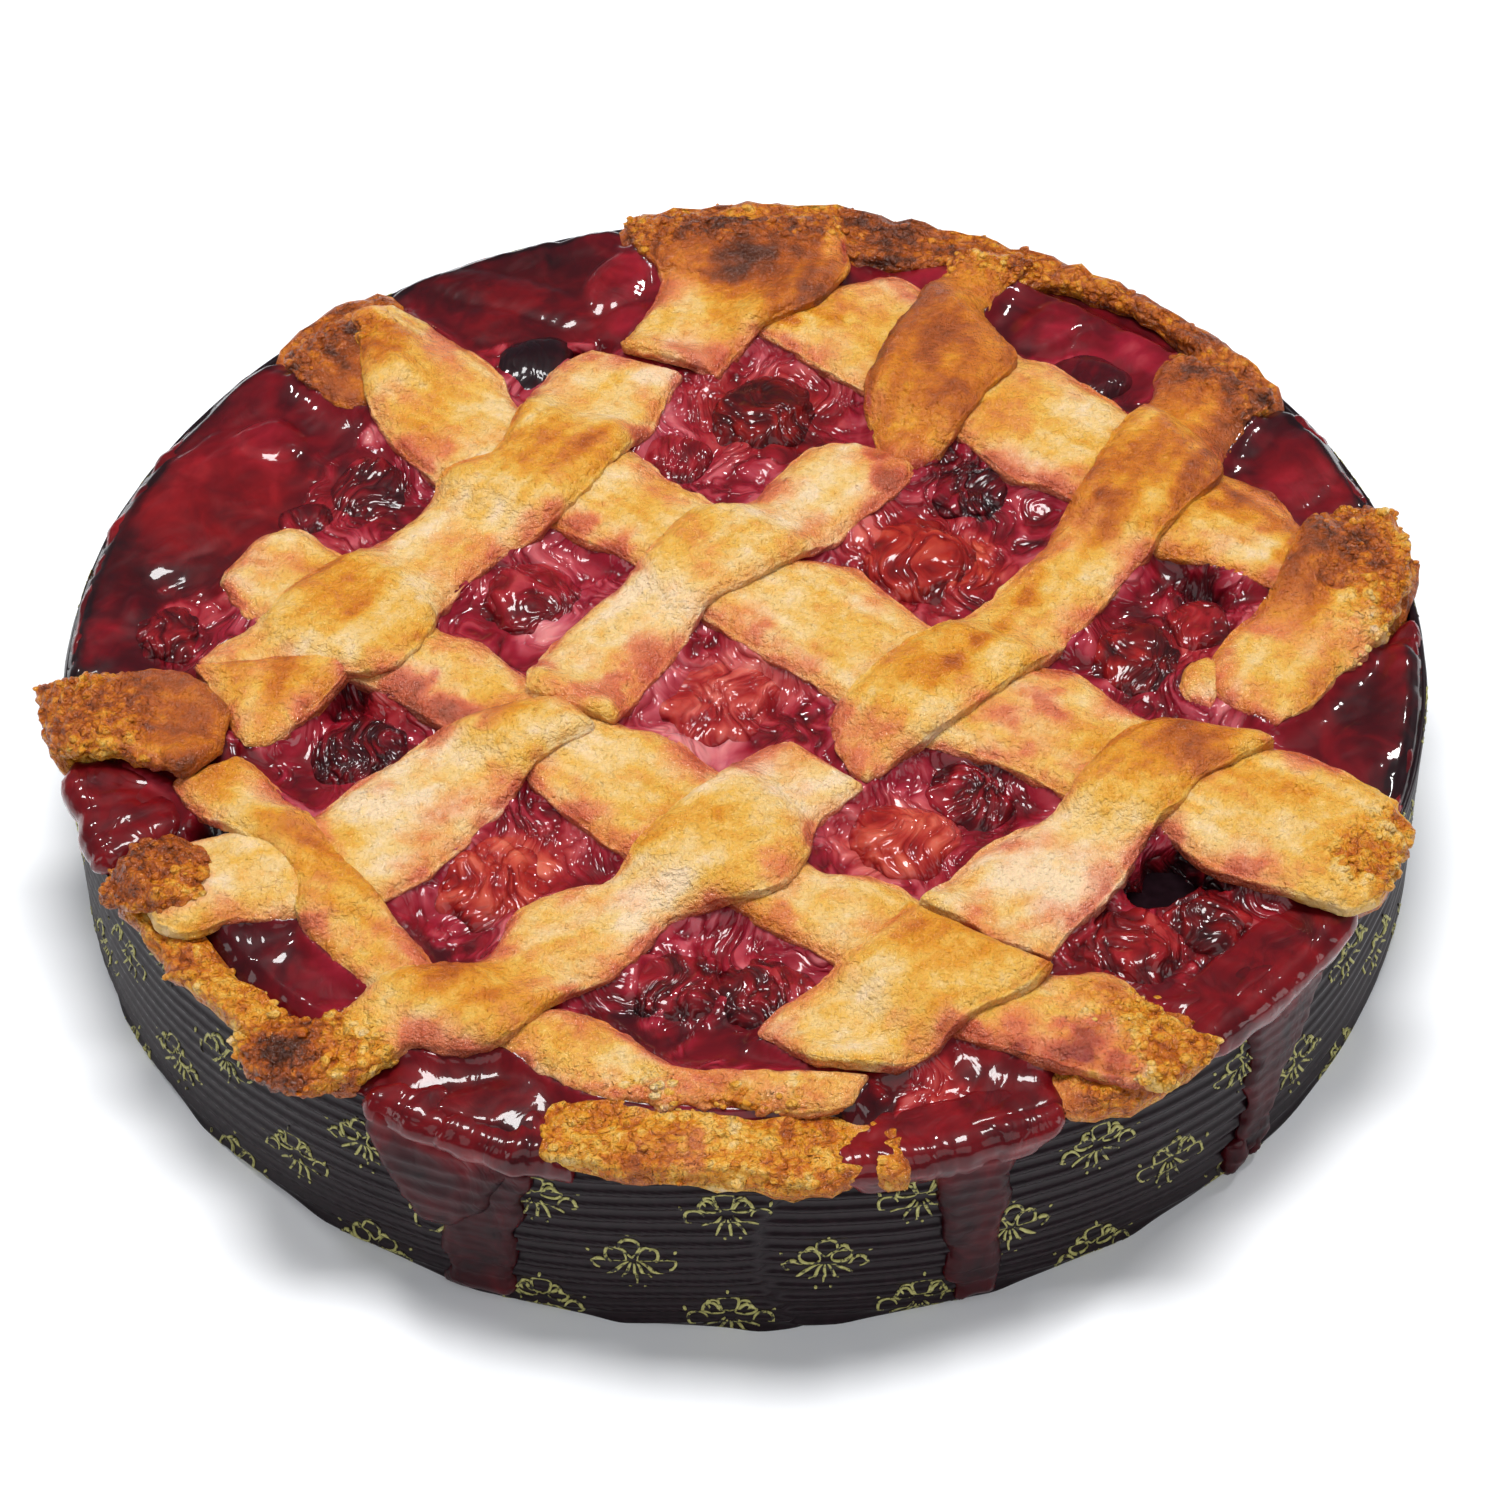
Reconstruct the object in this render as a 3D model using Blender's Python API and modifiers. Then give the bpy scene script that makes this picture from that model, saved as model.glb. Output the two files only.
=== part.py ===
"""Cherry tart with a lattice top, baked in a round corrugated paper mould.

Sizes are in millimetres and are scaled to metres as each mesh is made. The
tart stands on Z = 0 with its axis on Z. A level "low" is a strip lying on the
filling, and "high" is a strip that crosses over another one.
"""

import math
import random

import bmesh
import bpy
from mathutils import Euler, Matrix, Vector

MM = 0.001

# Paper mould, with level ribs around its wall
MOULD_RADIUS = 105.0
MOULD_HEIGHT = 34.5
MOULD_BORE = 103.6
MOULD_BASE = 1.2
RIB_COUNT = 12
RIB_DEPTH = 0.8
TURN_STEPS = 40

# Pastry case inside the mould
FIT_GAP = 0.3
CASE_WALL = 5.8
CASE_FLOOR = 4.0
CASE_RIM = MOULD_HEIGHT - 0.1
RIM_RISE = 2.0
BARE_RIM_SECTORS = ((43, 56), (66, 77), (210, 221), (263, 271))

# Cherry filling, and the pools that boiled over the rim, by sectors in degrees
FILL_LEVEL = 34.9
POOL_UNDERSIDE = MOULD_HEIGHT + 0.3
POOLS = (
    # start, end, inner and outer radius, height
    (141, 178, 88.0, 104.4, 1.2),
    (104, 123, 89.0, 104.4, 1.2),
    (15, 29, 90.0, 104.6, 1.6),
    (337, 352, 93.0, 105.0, 2.0),
    (308, 322, 86.0, 105.8, 2.6),
    (281, 294, 95.0, 105.8, 2.4),
    (239, 254, 95.5, 106.0, 2.6),
    (198, 204, 90.0, 105.2, 2.4),
)

# Lattice strips
STRIP_THICKNESS = 3.6
LOW = 37.35
HIGH = LOW + STRIP_THICKNESS + 0.45
LEVEL = 38.3
CROSS = 10.5
STRIPS = {
    # name: (width, ((x, y, z, half length of the flat stretch there), ...)) along the middle
    "strip_a1": (17.5, ((-82, -10, LOW, 0), (-61, 3, HIGH, CROSS), (-46, 21, LEVEL, 3),
                        (-31, 39.5, HIGH, CROSS), (-19, 61, LOW, 3))),
    "strip_a1_end": (22, ((-10, 58, HIGH, 0), (-3, 73, HIGH, 10), (3, 91, 39.5, 0),
                          (2, 98, LEVEL, 0))),
    "strip_a2": (17.5, ((-89, -50, LEVEL, 0), (-65, -46, LOW, CROSS), (-34, -19, HIGH, CROSS),
                        (-19, -2, LEVEL, 4), (-4, 16, HIGH, CROSS), (14, 32, LEVEL, 5),
                        (33, 58, HIGH, CROSS), (39, 74, LEVEL, 0), (46, 86, LEVEL, 0))),
    "strip_a3": (17, ((-71, -84, LEVEL, 0), (-62, -83, LEVEL, 0), (-43, -76, HIGH, CROSS),
                      (-24, -62, LEVEL, 3), (-5, -46, HIGH, CROSS), (10, -28, LEVEL, 2),
                      (27, -9, HIGH, CROSS), (47, 6, LEVEL, 4), (63, 31, HIGH, CROSS),
                      (79, 56, LEVEL, 0))),
    "strip_a4": (18, ((13, -83, LEVEL, 0), (29, -69, HIGH, CROSS), (45, -51, LEVEL, 4),
                      (60.5, -31.5, HIGH, CROSS), (78, -25.5, 41.0, 0))),
    "strip_a4_end": (17.5, ((79, -13, LEVEL, 0), (89, 3, HIGH, 11), (98, 17, LEVEL, 0))),
    "strip_b1": (12, ((-79, -29, LEVEL, 0), (-66, -43, HIGH, CROSS), (-54, -65, LOW, 0),
                      (-43, -76, LOW, 4), (-24, -85, LOW, 4), (-4, -91, LOW, 0),
                      (15, -93, LOW, 0))),
    "strip_b1_end": (22, ((-106, -13, LEVEL, 0), (-97, -15.5, 41.0, 0), (-86, -19, 42.4, 4))),
    "strip_b2": (18.5, ((-79, 18, LOW, 0), (-61, 3, LOW, 4), (-34, -19, LOW, 4),
                        (-5, -45, LOW, 4), (29, -69, LOW, 0), (44, -79, LOW, 0),
                        (60, -86, LOW, 0))),
    "strip_b3": (19, ((-65, 73, LEVEL, 0), (-49, 58, LOW, 0), (-31, 39.5, LOW, 0), (-4, 16, LOW, 4),
                      (27, -9, LOW, 4), (60.5, -31.5, LOW, 4), (77, -43, LOW, 0),
                      (92, -53, LOW, 0))),
    "strip_b4": (19, ((11, 79, LOW - 0.2, 0), (20, 71, LOW, 0), (33, 59, LOW, 0), (48, 46, LOW, 0),
                      (64, 32, LOW, 0), (76, 21.5, LOW, 0), (89, 9, LOW, 0))),
}

# Whole cherries that show in the lattice openings: x, y, radius
CHERRIES = (
    (-59, 38, 7.2), (-69, 29, 5.2), (-77, 47, 6.8), (-89, 5, 6.0), (-33, 66, 6.4),
    (-11, 43, 6.4), (4, 53, 7.4), (-33, 11, 7.2), (28, 17, 7.6), (37, 33, 6.4),
    (-4, -13, 7.4), (60, -6, 7.2), (70, 1, 5.4), (23, -43, 7.0), (33, -33, 6.4),
    (-58, -21, 7.2), (-38, -49, 7.2), (-11, -70, 6.3), (2, -72, 6.2), (55, -65, 7.0),
    (67, -60, 6.0), (57, 59, 6.8),
)
CHERRY_LEVEL = 32.6
CHERRY_SQUASH = 0.92
SOCKET_GAP = 0.35

PASTRY = (0.80, 0.47, 0.17)
BROWNED = (0.55, 0.25, 0.07)
FILLING = (0.22, 0.01, 0.02)
CHERRY = (0.10, 0.006, 0.015)
PAPER = (0.022, 0.014, 0.014)


def clear_scene():
    for obj in list(bpy.data.objects):
        bpy.data.objects.remove(obj, do_unlink=True)


def new_collection(name, is_helper=False):
    collection = bpy.data.collections.new(name)
    collection.hide_render = is_helper
    bpy.context.scene.collection.children.link(collection)
    return collection


def new_material(name, color, roughness, coat=0.0):
    material = bpy.data.materials.new(name)
    material.use_nodes = True
    shader = material.node_tree.nodes["Principled BSDF"]
    shader.inputs["Base Color"].default_value = (*color, 1.0)
    shader.inputs["Roughness"].default_value = roughness
    shader.inputs["Metallic"].default_value = 0.0
    shader.inputs["Coat Weight"].default_value = coat
    return material


def new_object(name, bm, collection, material=None):
    """Object from a bmesh in millimetres, facing outwards."""
    bmesh.ops.recalc_face_normals(bm, faces=bm.faces)
    bmesh.ops.scale(bm, vec=(MM, MM, MM), verts=bm.verts)
    mesh = bpy.data.meshes.new(name)
    bm.to_mesh(mesh)
    bm.free()
    obj = bpy.data.objects.new(name, mesh)
    collection.objects.link(obj)
    if material:
        mesh.materials.append(material)
    else:
        obj.display_type = "WIRE"
    return obj


def turned(name, profile, collection, material):
    """Solid turned about Z from (radius, height) points that start and end on the axis."""
    bm = bmesh.new()
    verts = [bm.verts.new((radius, 0, height)) for radius, height in profile]
    for first, second in zip(verts, verts[1:]):
        bm.edges.new((first, second))
    obj = new_object(name, bm, collection, material)
    screw = obj.modifiers.new("Turn", "SCREW")
    screw.axis = "Z"
    screw.angle = math.tau
    screw.steps = TURN_STEPS
    screw.render_steps = TURN_STEPS
    screw.use_merge_vertices = True
    screw.merge_threshold = 0.0001
    return obj


def apply_modifiers(obj):
    """Replaces the object's mesh with what its modifiers make of it."""
    graph = bpy.context.evaluated_depsgraph_get()
    mesh = bpy.data.meshes.new_from_object(obj.evaluated_get(graph))
    obj.modifiers.clear()
    obj.data = mesh


def loft(name, rings, collection, material=None):
    """Closed solid through rings with the same number of points, capped at both ends."""
    bm = bmesh.new()
    loops = [[bm.verts.new(point) for point in ring] for ring in rings]
    for loop, following in zip(loops, loops[1:]):
        for i, vert in enumerate(loop):
            j = (i + 1) % len(loop)
            bm.faces.new((vert, loop[j], following[j], following[i]))
    bm.faces.new(loops[0])
    bm.faces.new(loops[-1])
    return new_object(name, bm, collection, material)


def boolean(obj, operation, collection):
    modifier = obj.modifiers.new(operation.title(), "BOOLEAN")
    modifier.operation = operation
    modifier.operand_type = "COLLECTION"
    modifier.collection = collection
    modifier.solver = "EXACT"


def bareness(angle):
    """1 in the middle of a sector where the crust's rim stands clear, 0 outside them."""
    degrees = math.degrees(angle) % 360
    for start, end in BARE_RIM_SECTORS:
        middle = (start + end) / 2
        reach = (end - start) / 2 + 3
        if abs(degrees - middle) < reach:
            return 0.5 + 0.5 * math.cos(math.pi * (degrees - middle) / reach)
    return 0.0


def build_mould(collection, material):
    pitch = MOULD_HEIGHT / RIB_COUNT
    profile = [(0, MOULD_BASE), (MOULD_BORE, MOULD_BASE), (MOULD_BORE, MOULD_HEIGHT)]
    for rib in range(RIB_COUNT):
        top = MOULD_HEIGHT - rib * pitch
        profile.append((MOULD_RADIUS - RIB_DEPTH, top))
        profile.append((MOULD_RADIUS, top - pitch / 2))
    profile.append((MOULD_RADIUS - RIB_DEPTH, 0))
    profile.append((0, 0))
    turned("paper_mould", profile, collection, material)


def build_case(collection, material):
    """Pastry case whose rim stands up where no strip or pool covers it."""
    outer = MOULD_BORE - FIT_GAP
    inner = outer - CASE_WALL
    bottom = MOULD_BASE + FIT_GAP
    floor = bottom + CASE_FLOOR
    shoulder = CASE_RIM - 0.6
    profile = [(0, floor), (inner - 1, floor), (inner, floor + 2.5), (inner, CASE_RIM - 0.9),
               (inner + 1.6, CASE_RIM), (outer - 1.3, CASE_RIM), (outer, shoulder),
               (outer, shoulder - 1.4), (outer, bottom + 1.6), (outer - 1.8, bottom), (0, bottom)]
    case = turned("pastry_case", profile, collection, material)
    apply_modifiers(case)
    for vert in case.data.vertices:
        bare = bareness(math.atan2(vert.co.y, vert.co.x))
        share = max(0.0, vert.co.z / MM - (shoulder - 1.5)) / (CASE_RIM - shoulder + 1.5)
        vert.co.z += RIM_RISE * MM * bare * share


def build_pool(index, sector, collection):
    """Flat lobe of filling lying over the rim between two angles, thinning to its ends."""
    start, end, inner, outer, full_height = sector
    stations = max(4, round((end - start) / 6) + 1)
    rings = []
    for k in range(stations):
        share = k / (stations - 1)
        fullness = 0.35 + 0.65 * math.sin(math.pi * share) ** 0.6
        angle = math.radians(start + (end - start) * share)
        middle = (inner + outer) / 2
        half = (outer - inner) / 2 * (0.7 + 0.3 * fullness)
        height = full_height * fullness
        section = ((-1, 0), (-0.7, 0.6), (0, 1.0), (0.6, 0.9), (1, 0.35), (0.94, 0))
        rings.append([
            Vector(((middle + half * across) * math.cos(angle),
                    (middle + half * across) * math.sin(angle),
                    POOL_UNDERSIDE + height * up))
            for across, up in section
        ])
    loft(f"pool_{index}", rings, collection)


def build_filling(collection, material, pools, sockets):
    outer = MOULD_BORE - FIT_GAP - CASE_WALL - FIT_GAP
    bottom = MOULD_BASE + FIT_GAP + CASE_FLOOR + FIT_GAP
    profile = [(0, FILL_LEVEL), (45, FILL_LEVEL + 0.2), (84, FILL_LEVEL),
               (outer - 1, FILL_LEVEL + 0.1), (outer, FILL_LEVEL - 0.8),
               (outer, bottom + 2.5), (outer - 1, bottom), (0, bottom)]
    filling = turned("cherry_filling", profile, collection, material)
    for index, sector in enumerate(POOLS, 1):
        build_pool(index, sector, pools)
    boolean(filling, "UNION", pools)
    boolean(filling, "DIFFERENCE", sockets)


def stations_of(route):
    """Places along a strip: each route point, or both ends of its flat stretch."""
    stations = []
    for i, (x, y, z, hold) in enumerate(route):
        here = Vector((x, y, z))
        before = Vector(route[max(i - 1, 0)][:3])
        after = Vector(route[min(i + 1, len(route) - 1)][:3])
        ahead = (after - before) * Vector((1, 1, 0))
        step = ahead.normalized() * hold
        stations += [here - step, here + step] if hold else [here]
    return stations


def build_strip(name, width, route, collection, material):
    """Flat strip of dough that follows its route, narrower and thinner at its ends."""
    stations = stations_of(route)
    last = len(stations) - 1
    section = ((1, -0.45), (1, 0.35), (0.7, 1), (-0.7, 1),
               (-1, 0.35), (-1, -0.45), (-0.75, -1), (0.75, -1))
    rings = []
    for k, centre in enumerate(stations):
        ahead = stations[min(k + 1, last)] - stations[max(k - 1, 0)]
        side = Vector((ahead.y, -ahead.x, 0)).normalized()
        up = side.cross(ahead).normalized()
        is_end = k in (0, last)
        across = side * (width / 2 * (0.78 if is_end else 1.0))
        rise = up * (STRIP_THICKNESS / 2 * (0.8 if is_end else 1.0))
        rings.append([centre + across * u + rise * v for u, v in section])
    loft(name, rings, collection, material)


def build_cherry(index, x, y, radius, collection, material, sockets):
    """Stoned cherry: a squashed ball with the dent left by its stalk."""
    turn = Euler([random.uniform(-0.6, 0.6) for _ in range(2)] + [random.uniform(0, 6.3)])
    for name, grow, target in ((f"cherry_{index:02d}", 0.0, collection),
                               (f"socket_{index:02d}", SOCKET_GAP, sockets)):
        bm = bmesh.new()
        bmesh.ops.create_icosphere(bm, subdivisions=2, radius=radius + grow)
        top = max(bm.verts, key=lambda vert: vert.co.z)
        if not grow:
            top.co.z -= 0.18 * radius
        bmesh.ops.scale(bm, vec=(1.0, 0.96, CHERRY_SQUASH), verts=bm.verts)
        bmesh.ops.transform(bm, matrix=turn.to_matrix().to_4x4(), verts=bm.verts)
        bmesh.ops.transform(bm, matrix=Matrix.Translation((x, y, CHERRY_LEVEL)), verts=bm.verts)
        new_object(name, bm, target, None if grow else material)


def main():
    clear_scene()
    random.seed(4)
    tart = new_collection("Cherry tart")
    pools = new_collection("Pools joined to the filling", is_helper=True)
    sockets = new_collection("Cherry sockets", is_helper=True)

    build_mould(tart, new_material("Corrugated paper", PAPER, 0.35))
    build_case(tart, new_material("Pastry case", BROWNED, 0.65))
    build_filling(tart, new_material("Cherry filling", FILLING, 0.15, 0.6), pools, sockets)
    for name, (width, route) in STRIPS.items():
        color = BROWNED if name.endswith("end") else PASTRY
        build_strip(name, width, route, tart, new_material(name, color, 0.6))
    for index, (x, y, radius) in enumerate(CHERRIES, 1):
        cherry = new_material(f"Cherry {index}", CHERRY, 0.2, 0.5)
        build_cherry(index, x, y, radius, tart, cherry, sockets)


main()
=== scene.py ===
"""Looks of a cherry tart with a lattice top, baked in a ribbed round paper mould.

Sizes are in millimetres. Each piece is scaled to metres when it is finished,
with its place in its mesh. The tart's axis is Z and its front is towards -Y.
"""

import itertools
import math
import random

import bpy
import numpy as np
from mathutils import Matrix, Vector


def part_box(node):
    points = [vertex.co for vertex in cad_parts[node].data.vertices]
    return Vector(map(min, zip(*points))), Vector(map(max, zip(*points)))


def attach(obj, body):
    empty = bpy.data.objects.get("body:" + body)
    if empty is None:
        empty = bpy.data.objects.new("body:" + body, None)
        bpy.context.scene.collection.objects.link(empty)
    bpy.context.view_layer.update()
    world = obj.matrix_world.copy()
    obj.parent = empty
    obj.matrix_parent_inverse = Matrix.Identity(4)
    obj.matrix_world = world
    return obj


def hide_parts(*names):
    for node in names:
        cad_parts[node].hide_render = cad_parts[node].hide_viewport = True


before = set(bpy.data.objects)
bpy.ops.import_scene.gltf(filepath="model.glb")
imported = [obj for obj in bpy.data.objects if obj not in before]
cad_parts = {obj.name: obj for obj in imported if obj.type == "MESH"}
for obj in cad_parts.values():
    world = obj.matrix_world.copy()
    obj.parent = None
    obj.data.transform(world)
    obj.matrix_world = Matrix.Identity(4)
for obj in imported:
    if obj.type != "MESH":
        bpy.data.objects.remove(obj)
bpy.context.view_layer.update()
random.seed(11)

MM = 0.001
MOULD_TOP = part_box("paper_mould")[1] / MM
MOULD_RADIUS = MOULD_TOP.x
MOULD_HEIGHT = MOULD_TOP.z

# Dough strips: levels of their undersides on the filling and on the rim, thickness, how far
# they rise over another strip and how far beside it that starts, spacing of the flat
# strip's cells, and how far back of their rows they are laid
LYING = 35.7
ON_RIM = 36.2
STRIP_THICKNESS = 3.7
CROSSING_LIFT = 2.8
DRAPE_REACH = 6.5
CELL = 1.9
SET_BACK = 0.8

# Dough strips: the CAD node, the strips it lies over, browning at its start
# and end, and rows across it as left x, left y, right x, right y, extra lift
STRIPS = {
    "strip_b2": ("strip_b2", (), (0.2, 0.3), (
        (-77, 21, -81.5, 12.5), (-71, 24.5, -77.5, 6.5), (-64, 18.5, -74, 3), (-55, 10, -65, -5),
        (-47, 0.5, -55, -12), (-41, -2, -49, -17), (-36, -7.5, -43, -21), (-28, -15, -36, -27),
        (-20, -20.5, -32.5, -31), (-12, -23.5, -27, -38), (-6, -30, -20, -45.5), (3, -40, -11, -53),
        (10, -51.5, -1, -59), (17, -53, 5, -64), (25, -58.5, 12, -69), (33, -68, 22, -80),
        (42, -73, 31, -84), (51, -73, 42, -89), (58, -80.5, 52, -92.5), (66, -86, 58, -94, -0.5))),
    "strip_b3_torn": ("strip_b3", (), (0.66, 0.62), (
        (-65, 76, -74, 67, -1), (-62, 75.5, -72, 63, -0.6), (-58, 72, -68.5, 58.5),
        (-55, 66, -64.5, 54.5), (-54, 59, -60, 53, -0.6))),
    "strip_b3": ("strip_b3", ("strip_b3_torn",), (0.26, 0.26), (
        (-57, 78.5, -63, 74, -0.6), (-51, 74, -61, 62, -0.4), (-45, 67, -60, 54), (-39, 59.5, -56, 45.5),
        (-36, 52, -51, 38.5), (-27, 44, -42, 30), (-18, 41.5, -31, 24.5), (-12, 34, -24, 20.5),
        (-6, 29, -17, 15.5), (2, 20, -10, 7), (9, 14.5, -3, 0), (17, 12, 3, -6), (23, 5, 11, -12.5),
        (28, -1, 17, -19), (35, -7, 25, -26), (43, -11, 33, -28), (50, -12.5, 41, -32),
        (57, -19.5, 48, -38), (64, -25, 56, -43), (72, -29, 61, -44.5), (80, -30, 67, -52.5, 0.6),
        (88, -35.5, 78, -58, 0.8), (95.5, -42, 87, -62, 0.6), (98, -47, 92, -59, -0.5))),
    "strip_b4": ("strip_b4", (), (0.2, 0.26), (
        (14, 79.5, 3, 70.5), (21, 81.5, 7.5, 67), (27, 82, 13, 61.5), (33, 76.5, 19, 56),
        (40, 68, 27, 50), (46, 61, 33, 46), (51, 59.5, 38, 40), (57, 53, 44, 32.5), (63, 47, 50, 30),
        (70, 38, 58, 22), (77, 31.5, 65, 15), (83, 28, 71, 12.5), (87, 21, 78, 9), (91, 14, 84, 4))),
    "strip_a2_flake": ("strip_a2", ("strip_a2_low",), (0.66, 0.5), (
        (-90.5, -44, -95, -52, -2.2), (-86.5, -43, -92, -54, -1.4), (-83, -44, -88, -56.5, -1.2),
        (-80, -46, -84, -58, -1.2), (-77.5, -49, -79, -56, -1.4))),
    "strip_a2_low": ("strip_a2", ("strip_b2",), (0.22, 0.14), (
        (-91, -49, -86, -59), (-85, -44, -80, -61), (-80, -42.5, -75, -58), (-73, -40.5, -66, -58.5),
        (-65, -39.5, -57, -56.5), (-58, -33, -50, -53), (-50, -25.5, -43, -46), (-42, -21, -36, -37),
        (-34, -18, -30, -28.5), (-27.5, -17, -22, -23))),
    "strip_b1": ("strip_b1", ("strip_a2_low",), (0.28, 0.24), (
        (-76, -26, -85.5, -31, 1.0), (-71, -31, -81, -37.5, 0.3), (-65.5, -38, -75.5, -41.5, -1.0),
        (-61.5, -44, -69.5, -46, -1.6), (-57.5, -49.5, -66, -52, -1.8), (-54, -54.5, -65, -58, -1.2),
        (-51, -59.5, -63.5, -62.5, 0), (-48, -63.5, -59, -67.5), (-45, -69, -53, -73),
        (-39, -74, -44, -80.5), (-33, -78, -34, -85), (-27, -77, -29, -89), (-19, -81.5, -23, -93),
        (-11, -88, -15, -95), (-2, -89, -5, -96), (8, -89.5, 6, -97), (17, -90.5, 14, -96))),
    "strip_a1_flap": ("strip_a1", (), (0.3, 0.3), (
        (-83, -8, -58, -5.5, 2.2), (-81, -11, -60, -9, 1.6), (-79.5, -15.5, -63.5, -14.5, 1),
        (-77, -20.5, -68, -20.5, 0.4), (-75, -24, -71.5, -23.5))),
    "strip_a1": ("strip_a1", ("strip_b2", "strip_b3"), (0.24, 0.24), (
        (-84, -6, -80, -12), (-80, -1, -73, -10), (-74, 1.5, -65, -9), (-70, 7.5, -54, -9.5),
        (-62, 14.5, -48, -1), (-55, 22, -45, 8), (-49, 29, -38, 17), (-46, 34.5, -33, 20.5),
        (-39, 38, -27, 26), (-36, 45.5, -21, 35.5), (-33, 54.5, -15, 44.5), (-29, 62, -11.5, 54),
        (-23.5, 66, -9, 60))),
    "strip_a1_end": ("strip_a1_end", ("strip_b4", "strip_a1"), (0.24, 0.6), (
        (-18.5, 64.5, -4, 58.5), (-16.5, 71, 0.5, 65), (-13, 77.5, 6, 70.5), (-11.5, 83.5, 14, 75.5),
        (-14, 89.5, 18, 82, 1), (-17, 95, 18.5, 90, 1.2), (-17, 100, 16, 98, -0.3))),
    "strip_a2": ("strip_a2", ("strip_b2", "strip_b3"), (0.16, 0.22), (
        (-33, -15.5, -20, -22), (-31, -8, -15, -12.5), (-26.5, 0.5, -9, -3), (-20, 8, -5, 4),
        (-14, 14.5, 0.3, 7.5), (-8, 23, 7.5, 12.5), (1, 26.5, 14, 18), (6, 33.5, 20, 25),
        (12, 40, 25.5, 31), (19, 41.5, 29, 37))),
    "strip_a2_leaf": ("strip_a2", ("strip_b4",), (0.5, 0.52), (
        (24, 34.5, 29.5, 35.5), (22.5, 41, 35.5, 43.5), (21.5, 47.5, 40.5, 51.5), (21.5, 54, 45, 58),
        (24, 61.5, 43.5, 64), (27.5, 69, 41, 70.5), (31, 75.5, 42, 75), (34.5, 82, 45, 80),
        (38, 89, 50, 86))),
    "strip_a3_low": ("strip_a3", ("strip_b1", "strip_b2"), (0.3, 0.14), (
        (-74, -77.5, -71.5, -84.5, -5), (-68.5, -75.5, -64, -89.5, -2.5), (-62, -77, -55, -88.5, -0.5),
        (-57, -76, -49, -84, 0.5), (-50, -71.5, -43, -85), (-43, -70.5, -35, -84),
        (-37.5, -67, -27.5, -76), (-34, -59.5, -18, -69), (-28, -55, -12, -61), (-20, -53, -4, -58.5),
        (-16, -48, 4, -56.5), (-10, -40, 8.5, -50), (-4, -34, 10, -42.5), (2, -27.5, 14, -38),
        (7, -25, 17.5, -34.5))),
    "strip_a3": ("strip_a3", ("strip_b3", "strip_b4"), (0.26, 0.3), (
        (15.5, -31, 18, -34), (13.5, -25.5, 23, -29.5), (13, -21, 28, -26.5), (17, -16.5, 31, -23.5),
        (23, -9.5, 38, -17), (31, -3, 46, -10), (38, 3, 52, -2), (43, 9.5, 57, 5), (48, 16, 62, 11),
        (51, 22.5, 66, 17.5), (55, 28.5, 71, 23.5), (59, 36.5, 76, 31), (63, 43.5, 75, 38.5),
        (66.5, 48, 71, 45))),
    "strip_a3_rim": ("strip_a3", ("strip_b4",), (0.45, 0.6), (
        (65, 44, 76.5, 34, -0.8), (67, 50.5, 80, 41, -0.4), (69, 57, 84, 47), (72.5, 62.5, 87, 51, -0.8))),
    "strip_a4": ("strip_a4", ("strip_b2", "strip_b3"), (0.14, 0.34), (
        (25, -60.5, 42, -71), (29, -55.5, 45, -65.5), (35, -48.5, 52, -57.5), (41, -44.5, 56.5, -50.5),
        (46, -41, 60, -44.5), (50, -35, 63, -42), (55, -29, 67, -36.5), (62, -25, 72, -33.5),
        (70, -25, 75.5, -31.5), (77.5, -26.5, 79, -29.5))),
    "strip_a4_low": ("strip_a4", ("strip_b2", "strip_b1"), (0.22, 0.24), (
        (1, -83, 8, -88.5), (4, -78.5, 18, -90), (9, -74.5, 25, -86.5), (14, -71, 31, -81),
        (19, -66, 38, -77.5), (24, -61.5, 42.5, -73, 0.7))),
    "strip_a4_end": ("strip_a4_end", ("strip_b4",), (0.32, 0.42), (
        (74, -20, 80, -24), (71, -15.5, 85, -20), (71.5, -10, 90, -14), (76, -4, 96, -7.5),
        (81, 2, 99.5, -1, 0.6), (86, 10.5, 103, 6.5, 0.6), (88.5, 18, 104, 14.5, 0.4), (95, 23, 103, 22))),
    "strip_a4_knob": ("strip_a4_end", (), (0.2, 0.3), (
        (66.5, -17.5, 70.5, -20.5, -0.9), (66, -13.5, 72.5, -16, -0.3), (67.5, -10.5, 74, -12.5, -0.2),
        (71, -9, 75, -11, -0.6))),
    "strip_b1_end": ("strip_b1_end", ("strip_a1_flap", "strip_b1"), (0.6, 0.56), (
        (-108, -9, -104.5, -23.5, -2.5), (-103, -8.5, -100.5, -25.5, 1.5), (-96, -10.5, -94, -26.5, 2.6),
        (-89, -9.5, -88, -29.5, 2.8), (-83, -12.5, -83, -32, 2), (-77.5, -18, -78.5, -27, 0.4))),
}

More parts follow.
